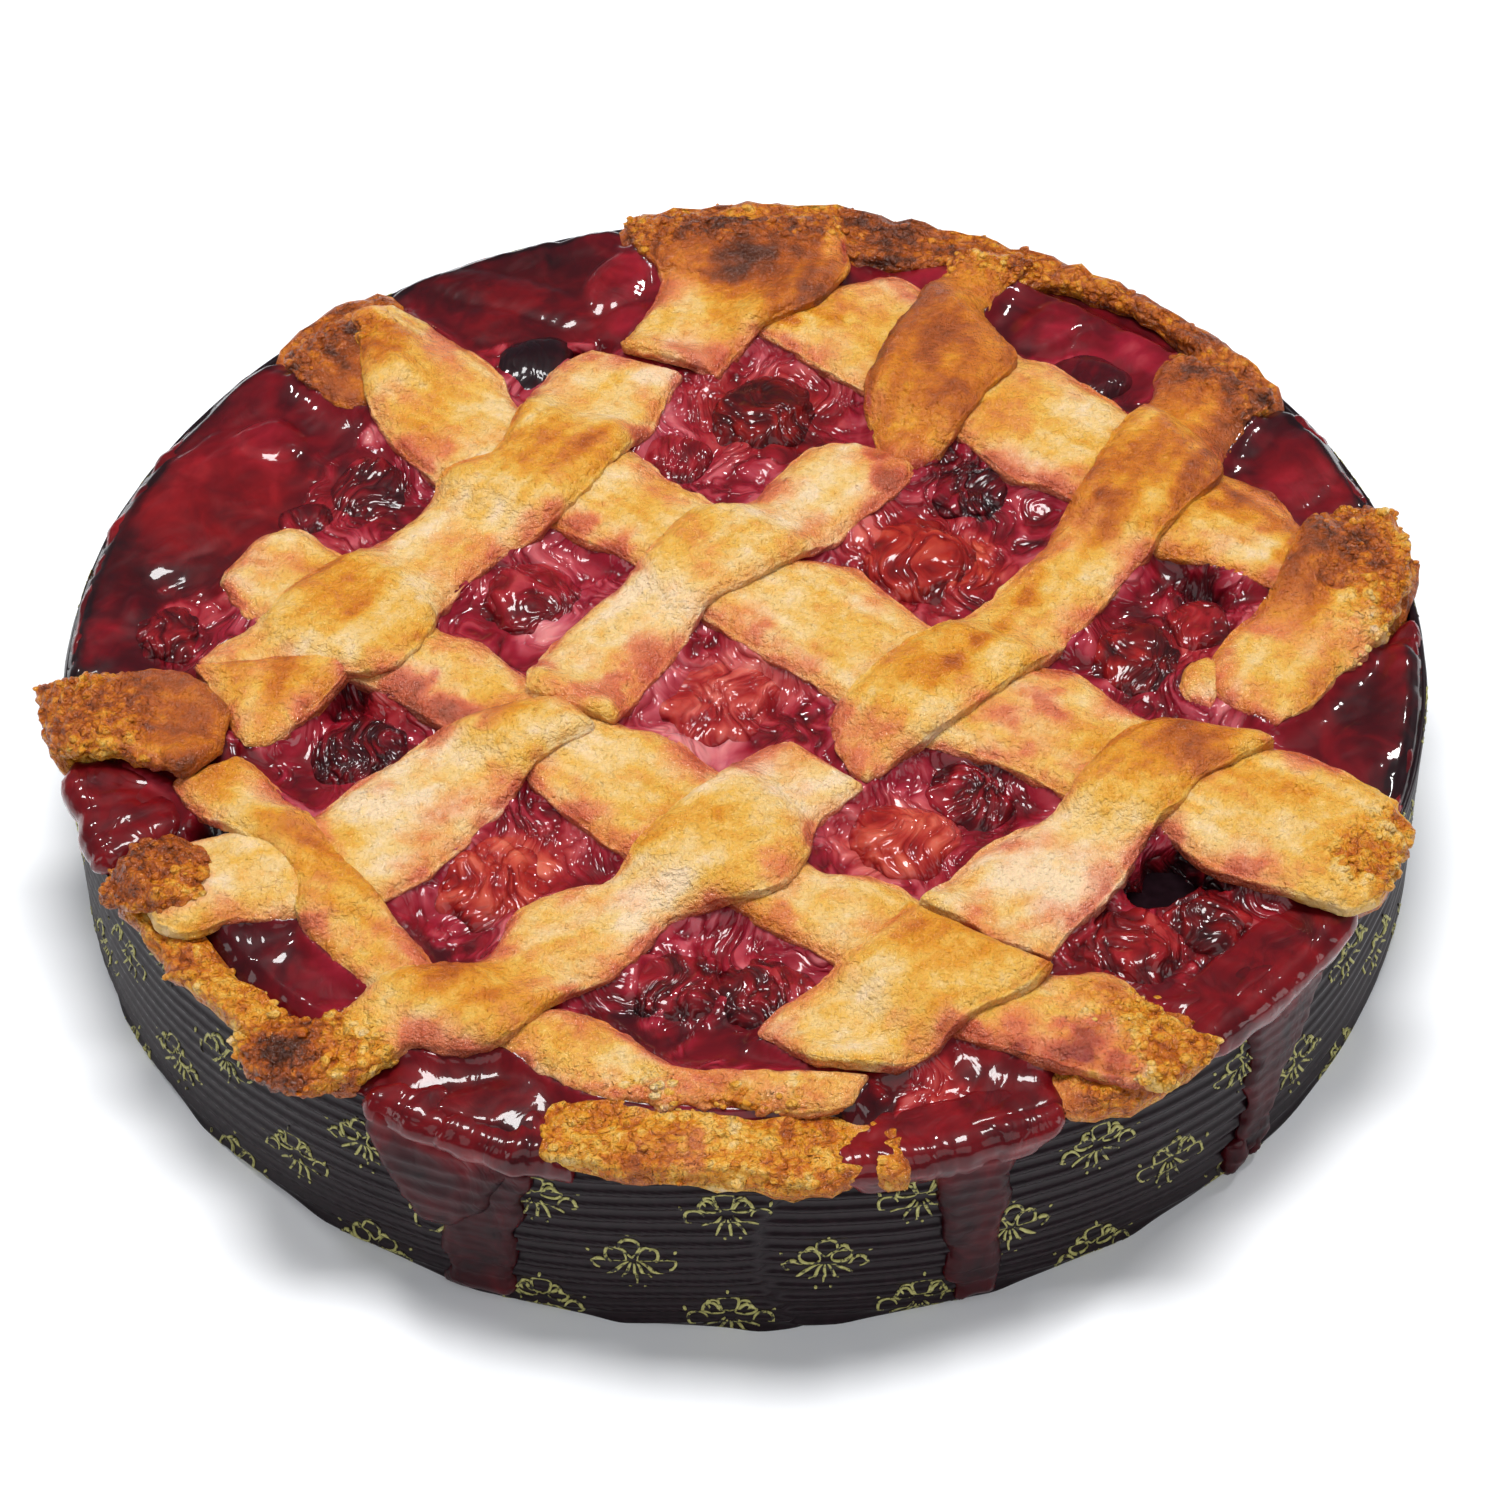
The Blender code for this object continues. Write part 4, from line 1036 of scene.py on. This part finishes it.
def over_edge(along, past, proud):
    """Place at a distance along the rim and past its edge, standing proud of the mould."""
    turn = np.clip(past / EDGE_TURN, 0, 1) * math.pi / 2
    corner = EDGE_TURN * 2 / math.pi
    radius = MOULD_RADIUS - corner + np.minimum(past, 0) + (corner + proud) * np.sin(turn)
    height = MOULD_HEIGHT + 0.2 - corner + (corner + proud) * np.cos(turn) - np.maximum(past - EDGE_TURN, 0)
    radius += np.where(past > 0, 0.35, 0) * wall_relief(along, height)
    return round_mould(along, radius, height)


def build_run(name, rows, seed):
    """Lays a strip of juice over the rim's edge, domed, ragged and wrinkled."""
    width = max(row[2] - row[1] for row in rows)
    columns = max(10, round(width / RUN_CELL))
    rows = np.array([tuple(row) + (0.2,) * (5 - len(row)) for row in rows])
    count = max(12, round((rows[-1, 0] - rows[0, 0]) / RUN_CELL))
    run = add_mesh(bpy.ops.mesh.primitive_grid_add, name,
                   x_subdivisions=columns, y_subdivisions=count, size=2)
    flat = vertex_places(run)
    across, down = (flat[:, 0] + 1) / 2, (flat[:, 1] + 1) / 2
    past = rows[0, 0] + down * (rows[-1, 0] - rows[0, 0])
    start, end, thick, ripple = (np.interp(past, rows[:, 0], rows[:, k]) for k in (1, 2, 3, 4))
    spread = points_at(start + (end - start) * across, past)
    ragged = min(2.0, 0.12 * width)
    start += ragged * noise(spread * (0, 1, 0), 5, seed)
    end += ragged * noise(spread * (0, 1, 0), 5, seed + 1)
    along = start + (end - start) * across
    edge = np.minimum.reduce([across * (end - start), (1 - across) * (end - start),
                              past - rows[0, 0], rows[-1, 0] - past])
    edge += ragged * 0.4 * noise(points_at(along, past), 4, seed + 9)
    bitten = 1.2 + 1.6 * noise(points_at(along), 6, seed + 8)
    edge = np.minimum(edge, rows[-1, 0] - past - np.clip(bitten, 0, None))
    dome = np.sqrt(np.clip(1 - (1 - np.clip(edge / (1.1 + thick), 0, 1)) ** 2, 0, 1))
    spread[:, 0] = along
    bent = bent_places(spread, 2, 8, seed + 2)
    waves = 0.9 * noise(bent, (2.4, 9, 5), seed + 5) + 0.6 * noise(bent, (6, 3, 5), seed + 6)
    proud = -0.9 + dome * (thick + 0.9 + ripple * waves)
    move_vertices(run, over_edge(along, past, proud))
    apply_modifier(run, "SOLIDIFY", thickness=0.4, offset=-1.0)
    settled = vertex_places(run)
    settled[:, 2] = np.maximum(settled[:, 2], 0.05)
    move_vertices(run, settled)
    below = MOULD_HEIGHT - settled[:, 2]
    # The juice is painted darker the further it has run below the rim
    tone = (0.3 if name.startswith("run") else 0.27) - 0.15 * smooth_step(1.5, 8, below)
    paint(run, "flesh", tone + 0.08 * noise(settled, 5, seed))
    paint(run, "brick", 0.4 * smooth_step(5, 1, below))
    paint(run, "pulp", np.full(len(settled), 0.15))
    finish_piece(run, FILLING if name.startswith("run") else DRIED_JUICE, "filling")


for number, (run_name, run_rows) in enumerate(RUNS.items()):
    build_run(run_name, run_rows, number * 7 + 2)


# ---------------------------------------------------------------- crust around the rim

# Rim by angle: inner and outer radius, underside, top and browning
RIM = (
    (0, 97, 101.8, 32.6, 33.6, 0.8), (5, 96, 106.0, 32.6, 37.6, 0.75), (12, 95, 106.3, 32.6, 37.8, 0.75),
    (15, 97, 105.0, 33.0, 36.2, 0.8), (18, 97, 101.5, 32.6, 33.4, 0.8), (28, 97, 101.5, 32.6, 33.4, 0.8),
    (32, 94, 104.8, 33.0, 36.8, 0.8), (37, 92, 105.2, 33.0, 37.6, 0.72),
    (41, 99.5, 105.0, 33.0, 37.0, 0.75), (50, 101, 105.0, 33.0, 36.8, 0.75),
    (57, 99, 105.0, 33.0, 36.8, 0.68), (62, 93, 105.0, 33.0, 37.4, 0.65),
    (66, 95, 104.8, 33.0, 37.4, 0.7), (73, 92, 104.8, 33.0, 37.8, 0.85),
    (80, 91, 104.8, 33.0, 38.8, 0.78), (88, 91, 105.0, 33.0, 39.6, 0.7),
    (95, 91, 104.8, 33.0, 38.8, 0.66), (99, 94, 104.6, 33.0, 37.2, 0.7),
    (103, 97, 101.5, 32.6, 33.4, 0.8), (122, 97, 101.5, 32.6, 33.4, 0.8),
    (126, 94, 105.0, 33.0, 36.8, 0.78), (131, 93, 105.0, 33.0, 37.6, 0.75),
    (136, 96, 104.8, 33.0, 35.8, 0.85), (140, 97, 101.5, 32.6, 33.4, 0.8),
    (180, 97, 101.5, 32.6, 33.4, 0.8), (184, 96, 106.5, 33.0, 37.5, 0.65),
    (190, 94, 107.5, 32.6, 38.6, 0.65), (195, 96, 104.5, 33.0, 35.2, 0.7),
    (204, 98, 104.6, 33.0, 35.8, 0.6), (207, 97, 105.4, 32.6, 36.6, 0.72),
    (213, 97.5, 105.4, 32.2, 36.6, 0.66), (222, 99, 105.4, 32.6, 36.3, 0.55),
    (230, 98, 105.6, 32.6, 36.5, 0.6), (236, 97, 105.4, 32.6, 36.2, 0.65),
    (240, 97, 101.5, 32.6, 33.4, 0.7), (251, 97, 101.5, 32.6, 33.4, 0.7),
    (254, 90, 105.6, 32.4, 37.2, 0.62), (258, 88, 106.3, 31.8, 37.8, 0.6),
    (264, 88, 106.5, 32.0, 38.0, 0.5), (268, 88, 106.4, 31.8, 37.8, 0.48),
    (272, 89, 108.2, 30.6, 37.4, 0.55), (276, 92, 107.6, 30.8, 36.8, 0.58),
    (278.5, 97, 105.6, 32.6, 35.6, 0.55), (281, 97, 108.8, 30.4, 36.4, 0.6),
    (283, 97, 101.8, 32.6, 33.6, 0.6), (293, 97, 101.8, 32.6, 33.6, 0.6),
    (297, 94, 106.2, 31.6, 36.6, 0.55), (302, 92, 107.6, 30.6, 37.0, 0.56),
    (307, 92, 107.4, 30.6, 37.0, 0.6), (310, 97, 101.8, 32.6, 33.6, 0.7),
    (325, 97, 101.8, 32.6, 33.6, 0.7), (328, 93, 107.4, 30.6, 37.4, 0.58),
    (332, 92, 107.8, 30.4, 37.8, 0.58), (335, 95, 105.5, 32.0, 36.4, 0.65),
    (338, 97, 101.5, 32.6, 33.4, 0.7), (356, 97, 101.5, 32.6, 33.4, 0.7),
)


def build_rim():
    """Rough rim of crust: a ring whose section grows and shrinks, broken up by crumbs."""
    rim = add_mesh(bpy.ops.mesh.primitive_torus_add, "rim_crust",
                   major_segments=1340, minor_segments=64, major_radius=3, minor_radius=1)
    ring = vertex_places(rim)
    degrees = np.degrees(np.arctan2(ring[:, 1], ring[:, 0])) % 360
    across = np.hypot(ring[:, 0], ring[:, 1]) - 3
    up = ring[:, 2]
    table = np.array(RIM + ((RIM[0][0] + 360,) + RIM[0][1:],))
    wavy = degrees + 0.8 * noise(points_at(degrees), 3, 4)
    inner, outer, under, top, brown = (np.interp(wavy % 360, table[:, 0], table[:, k]) for k in range(1, 6))
    square = np.maximum(np.abs(across), np.abs(up)) ** -0.45
    radius = (inner + outer) / 2 + (outer - inner) / 2 * across * square
    height = (under + top) / 2 + (top - under) / 2 * up * square
    angle = np.radians(degrees)
    places = points_at(radius * np.cos(angle), radius * np.sin(angle), height)
    present = smooth_step(35.0, 36.4, top)
    broad = layered_noise(places, 7, 3)
    crumbled = crumbling(places, 3.1, 1.5, (2, 7))
    fine = 0.25 * noise(places, 0.9, 12)
    outward = points_at(across * np.cos(angle), across * np.sin(angle), up)
    places += outward * (present * (0.9 * broad + crumbled + fine))[:, None]
    move_vertices(rim, places)
    # Painted shade: browning is darker in the hollows between the crumbs and paler on their tops
    paint(rim, "browning", brown - 0.12 + 0.14 * broad - 0.2 * crumbled)
    paint(rim, "juice", 0.4 * (1 - present) + 0.35 * smooth_step(0.2, 0.9, noise(places, 9, 33)))
    paint(rim, "crumbs", present)
    finish_piece(rim, DOUGH, "pastry", "pastry_case")


build_rim()

CRUMB_COUNT = 900


def scatter_crumbs():
    """Loose-looking crumbs baked onto the browned, crumbly ends of the strips and the rim."""
    places, normals, browns = [], [], []
    for crust in [obj for obj in bpy.context.scene.objects if obj.type == "MESH"]:
        if "crumbs" not in crust.data.attributes:
            continue
        values = {}
        for key in ("crumbs", "browning"):
            values[key] = np.empty(len(crust.data.vertices), np.float32)
            crust.data.attributes[key].data.foreach_get("value", values[key])
        facing = vertex_normals(crust)
        kept = (values["crumbs"] > 0.55) & (facing[:, 2] > 0.1)
        places.append(vertex_places(crust)[kept] / MM)
        normals.append(facing[kept])
        browns.append(values["browning"][kept])
    places, normals, browns = (np.concatenate(part) for part in (places, normals, browns))
    chosen = np.random.default_rng(3).choice(len(places), CRUMB_COUNT, replace=False)
    crumb = add_mesh(bpy.ops.mesh.primitive_ico_sphere_add, "crumb", subdivisions=2, radius=1)
    ball = vertex_places(crumb)
    crumbs = []
    for number, index in enumerate(chosen):
        copy = copy_of(crumb)
        size = random.uniform(0.3, 0.85) ** 1.4
        shape = ball * (1 + 0.4 * noise(ball + number, 1.1, 5))[:, None]
        shape = shape * (random.uniform(0.8, 1.4), random.uniform(0.8, 1.3), random.uniform(0.5, 0.8)) * size
        move_vertices(copy, shape + places[index] - normals[index] * size * 0.1)
        paint(copy, "browning", np.full(len(ball), browns[index] + random.uniform(-0.16, 0.06)))
        paint(copy, "juice", np.zeros(len(ball)))
        paint(copy, "crumbs", np.full(len(ball), 0.5))
        crumbs.append(copy)
    bpy.data.objects.remove(crumb)
    finish_piece(join_pieces(crumbs, "crust_crumbs"), DOUGH, "pastry")


scatter_crumbs()


# ---------------------------------------------------------------- paper mould

def build_mould():
    """Paper mould: a plain tube cut into rings, pressed into ribs, with a folded lip."""
    mould = add_mesh(bpy.ops.mesh.primitive_cylinder_add, "ribbed_mould",
                     vertices=600, radius=MOULD_RADIUS, depth=2, end_fill_type="NOTHING")
    ends = np.empty(len(mould.data.edges) * 2, np.int32)
    mould.data.edges.foreach_get("vertices", ends)
    upright = np.ptp(vertex_places(mould)[ends.reshape(-1, 2), 2], axis=1) > 1
    edit_selected(mould, "EDGE", upright)
    bpy.ops.mesh.subdivide(number_cuts=150)
    bpy.ops.object.mode_set(mode="OBJECT")
    tube = vertex_places(mould)
    along = np.arctan2(tube[:, 0], -tube[:, 1]) * MOULD_RADIUS
    share = (tube[:, 2] + 1) / 2
    rim_wave = 0.25 * noise(points_at(along), 12, 80)
    height = share * (MOULD_HEIGHT - 0.1 + rim_wave)
    move_vertices(mould, on_wall(along, height))
    edit_selected(mould, "VERT", share > 0.9999)
    for shrink, drop in ((0.992, 0.0), (0.998, -2.5)):
        bpy.ops.mesh.extrude_edges_move(TRANSFORM_OT_translate={"value": (0, 0, drop)})
        bpy.ops.transform.resize(value=(shrink, shrink, 1), center_override=(0, 0, 0))
    select_open_edges()
    bpy.ops.mesh.fill_holes(sides=0)
    bpy.ops.mesh.select_all(action="SELECT")
    bpy.ops.mesh.normals_make_consistent(inside=False)
    bpy.ops.object.mode_set(mode="OBJECT")
    finish_piece(mould, PAPER, "paper_mould", "paper_mould")


build_mould()


def petal(turn, inner, outer, half):
    """Outline of one petal, starting and ending near the flower's middle."""
    angles = np.linspace(0, 2 * math.pi, 15)[:-1]
    length = (outer - inner) / 2
    x = half * np.sin(angles) * (0.75 - 0.35 * np.cos(angles))
    y = inner + length - length * np.cos(angles)
    c, s = math.cos(turn), math.sin(turn)
    points = np.column_stack([x * c - y * s, x * s + y * c])
    return np.concatenate([points, points[:1]])


def curl(side, start, radius, sweep, turn):
    """A spiral stroke that closes up as it goes, mirrored by its side."""
    angles = np.linspace(0, sweep, 13)
    grow = radius * (1 - 0.45 * angles / max(abs(sweep), 0.1))
    x = start[0] + side * (radius * math.cos(turn) - grow * np.cos(angles + turn))
    y = start[1] + grow * np.sin(angles + turn) - radius * math.sin(turn)
    return np.column_stack([x, y])


def flower_strokes():
    """A plain flower with three round petals over a spray of stems, between two curls."""
    strokes = [petal(0, 0.8, 4.4, 1.9), petal(math.radians(62), 0.9, 4.2, 1.6),
               petal(math.radians(-62), 0.9, 4.2, 1.6)]
    for degrees, reach in ((180, 4.9), (152, 4.6), (208, 4.6), (124, 4.9), (236, 4.9)):
        turn = math.radians(degrees)
        ahead = np.array((-math.sin(turn), math.cos(turn)))
        strokes.append(np.array([0.9 * ahead, 0.5 * (0.9 + reach) * ahead + (0, -0.25), reach * ahead]))
    for side in (-1, 1):
        strokes.append(curl(side, (side * 3.3, -0.6), 1.7, 4.4, 0.2))
        strokes.append(curl(side, (side * 1.6, 3.0), 1.0, 3.6, 0.6))
        strokes.append(np.array([(side * 6.2, 1.4), (side * 6.6, 1.9)]))
        strokes.append(np.array([(side * 1.0, -5.3), (side * 1.2, -5.7)]))
    strokes.append(np.array([(0, 5.2), (0.1, 5.8)]))
    return strokes


# Gold print: half the width of a stroke, spacing of the flowers around the wall and up it,
# how far every second column is set down, and the height of its lowest full row
STROKE_HALF_WIDTH = 0.24
COLUMN_SPACING = 13.5
ROW_SPACING = 23.2
STAGGER = 11.6
FIRST_ROW = 26.7


def make_flower():
    """A flat flower whose strokes are ribbons that taper towards their ends."""
    ribbons = []
    for points in flower_strokes():
        steps = np.hypot(*np.diff(points, axis=0).T)
        count = max(3, round(steps.sum() / 0.45))
        places = np.concatenate([[0], np.cumsum(steps)])
        wanted = np.linspace(0, places[-1], count + 1)
        centre = np.column_stack([np.interp(wanted, places, points[:, k]) for k in (0, 1)])
        ahead = np.gradient(centre, axis=0)
        ahead /= np.maximum(np.linalg.norm(ahead, axis=1, keepdims=True), 1e-6)
        side = np.column_stack([-ahead[:, 1], ahead[:, 0]])
        taper = 0.35 + 0.65 * np.sin(np.linspace(0.15, math.pi - 0.15, count + 1))
        ribbon = add_mesh(bpy.ops.mesh.primitive_grid_add, "flower_stroke",
                          x_subdivisions=1, y_subdivisions=count, size=2)
        flat = vertex_places(ribbon)
        row = np.rint((flat[:, 1] + 1) / 2 * count).astype(int)
        reach = side * (STROKE_HALF_WIDTH * taper)[:, None]
        plan = np.where(flat[:, :1] < 0, (centre - reach)[row], (centre + reach)[row])
        move_vertices(ribbon, points_at(*plan.T))
        ribbons.append(ribbon)
    return join_pieces(ribbons, "flower")


def build_print():
    """Gold flowers in staggered rows around the mould, laid on the ribs."""
    flower = make_flower()
    pattern = vertex_places(flower)
    around = 2 * math.pi * MOULD_RADIUS
    columns = round(around / COLUMN_SPACING / 2) * 2
    flowers = []
    for column, row in itertools.product(range(columns), (-1, 0, 1, 2)):
        along = (column * around / columns - 4 + around / 2) % around - around / 2
        middle = FIRST_ROW - 0.35 * rib_slope_drop(np.array([along]))[0] + row * ROW_SPACING
        middle -= (column % 2) * STAGGER
        if not -3 < middle < MOULD_HEIGHT + 3:
            continue
        copy = copy_of(flower)
        lean = random.uniform(-0.06, 0.06) + (0.1 if along < 0 else -0.1)
        c, s = math.cos(lean), math.sin(lean)
        x = pattern[:, 0] * c - pattern[:, 1] * s
        y = pattern[:, 0] * s + pattern[:, 1] * c
        move_vertices(copy, on_wall(along + x, np.clip(middle + y, 0.1, MOULD_HEIGHT - 0.15), 0.05))
        flowers.append(copy)
    bpy.data.objects.remove(flower)
    printed = join_pieces(flowers, "mould_print")
    apply_modifier(printed, "SOLIDIFY", thickness=0.12, offset=0.0)
    finish_piece(printed, GOLD, "paper_mould")


build_print()


# ---------------------------------------------------------------- studio

# Area lights: place, width and height, and power
LIGHTS = {
    "overhead": ((0.0, 0.14, 1.15), (0.42, 0.28), 11.4),
    "back_left": ((-0.75, 0.6, 0.95), (0.12, 0.12), 3.3),
    "back_right": ((0.75, 0.6, 0.95), (0.12, 0.12), 3.3),
    "front_fill": ((0.1, -1.0, 0.95), (1.7, 0.9), 6.0),
    "left": ((-1.1, -0.35, 0.45), (0.3, 0.6), 1.6),
    "right": ((1.1, -0.35, 0.45), (0.3, 0.6), 1.8),
}
LIT_PLACE = Vector((0, 0, 0.03))


def build_floor():
    floor = add_mesh(bpy.ops.mesh.primitive_plane_add, "studio_floor", size=8)
    material, tree, shader = new_material("White studio floor")
    set_inputs(tree, shader, {
        "Base Color": linear("#F7F8FA"), "Roughness": 0.9, "Specular IOR Level": 0.0})
    floor.data.materials.append(material)


def build_studio():
    """Lights, and a faint sky that cools the shadows."""
    scene = bpy.context.scene
    world = bpy.data.worlds.new("Studio")
    world.use_nodes = True
    set_inputs(world.node_tree, world.node_tree.nodes["Background"], {
        "Color": (0.75, 0.87, 1.0, 1), "Strength": 0.12})
    scene.world = world
    for name, (place, size, power) in LIGHTS.items():
        light = bpy.data.lights.new(name, "AREA")
        light.shape = "RECTANGLE"
        light.size, light.size_y = size
        light.energy = power
        lamp = bpy.data.objects.new(name, light)
        scene.collection.objects.link(lamp)
        lamp.location = place
        lamp.rotation_euler = (LIT_PLACE - Vector(place)).to_track_quat("-Z", "Y").to_euler()
    scene.view_settings.view_transform = "Standard"
    scene.view_settings.look = "None"


def build_camera():
    """Long lens on the tart's rim, from 44 degrees above the front."""
    distance, elevation = 0.6825, math.radians(44.39)
    yaw, down, roll = math.radians(0.092), math.radians(45.722), math.radians(-1.251)
    camera = bpy.data.cameras.new("camera")
    camera.lens = 106.0
    camera.sensor_width = 36.0
    camera.clip_start = 0.05
    camera.clip_end = 20
    ahead = Vector((math.sin(yaw) * math.cos(down), math.cos(yaw) * math.cos(down), -math.sin(down)))
    right = ahead.cross(Vector((0, 0, 1))).normalized()
    up = right.cross(ahead)
    level = Matrix((right * math.cos(roll) + up * math.sin(roll),
                    up * math.cos(roll) - right * math.sin(roll), -ahead)).transposed().to_4x4()
    view = bpy.data.objects.new("camera", camera)
    bpy.context.scene.collection.objects.link(view)
    level.translation = (0, -distance * math.cos(elevation), distance * math.sin(elevation) + 0.0342)
    view.matrix_world = level
    bpy.context.scene.camera = view


build_floor()
build_studio()
build_camera()
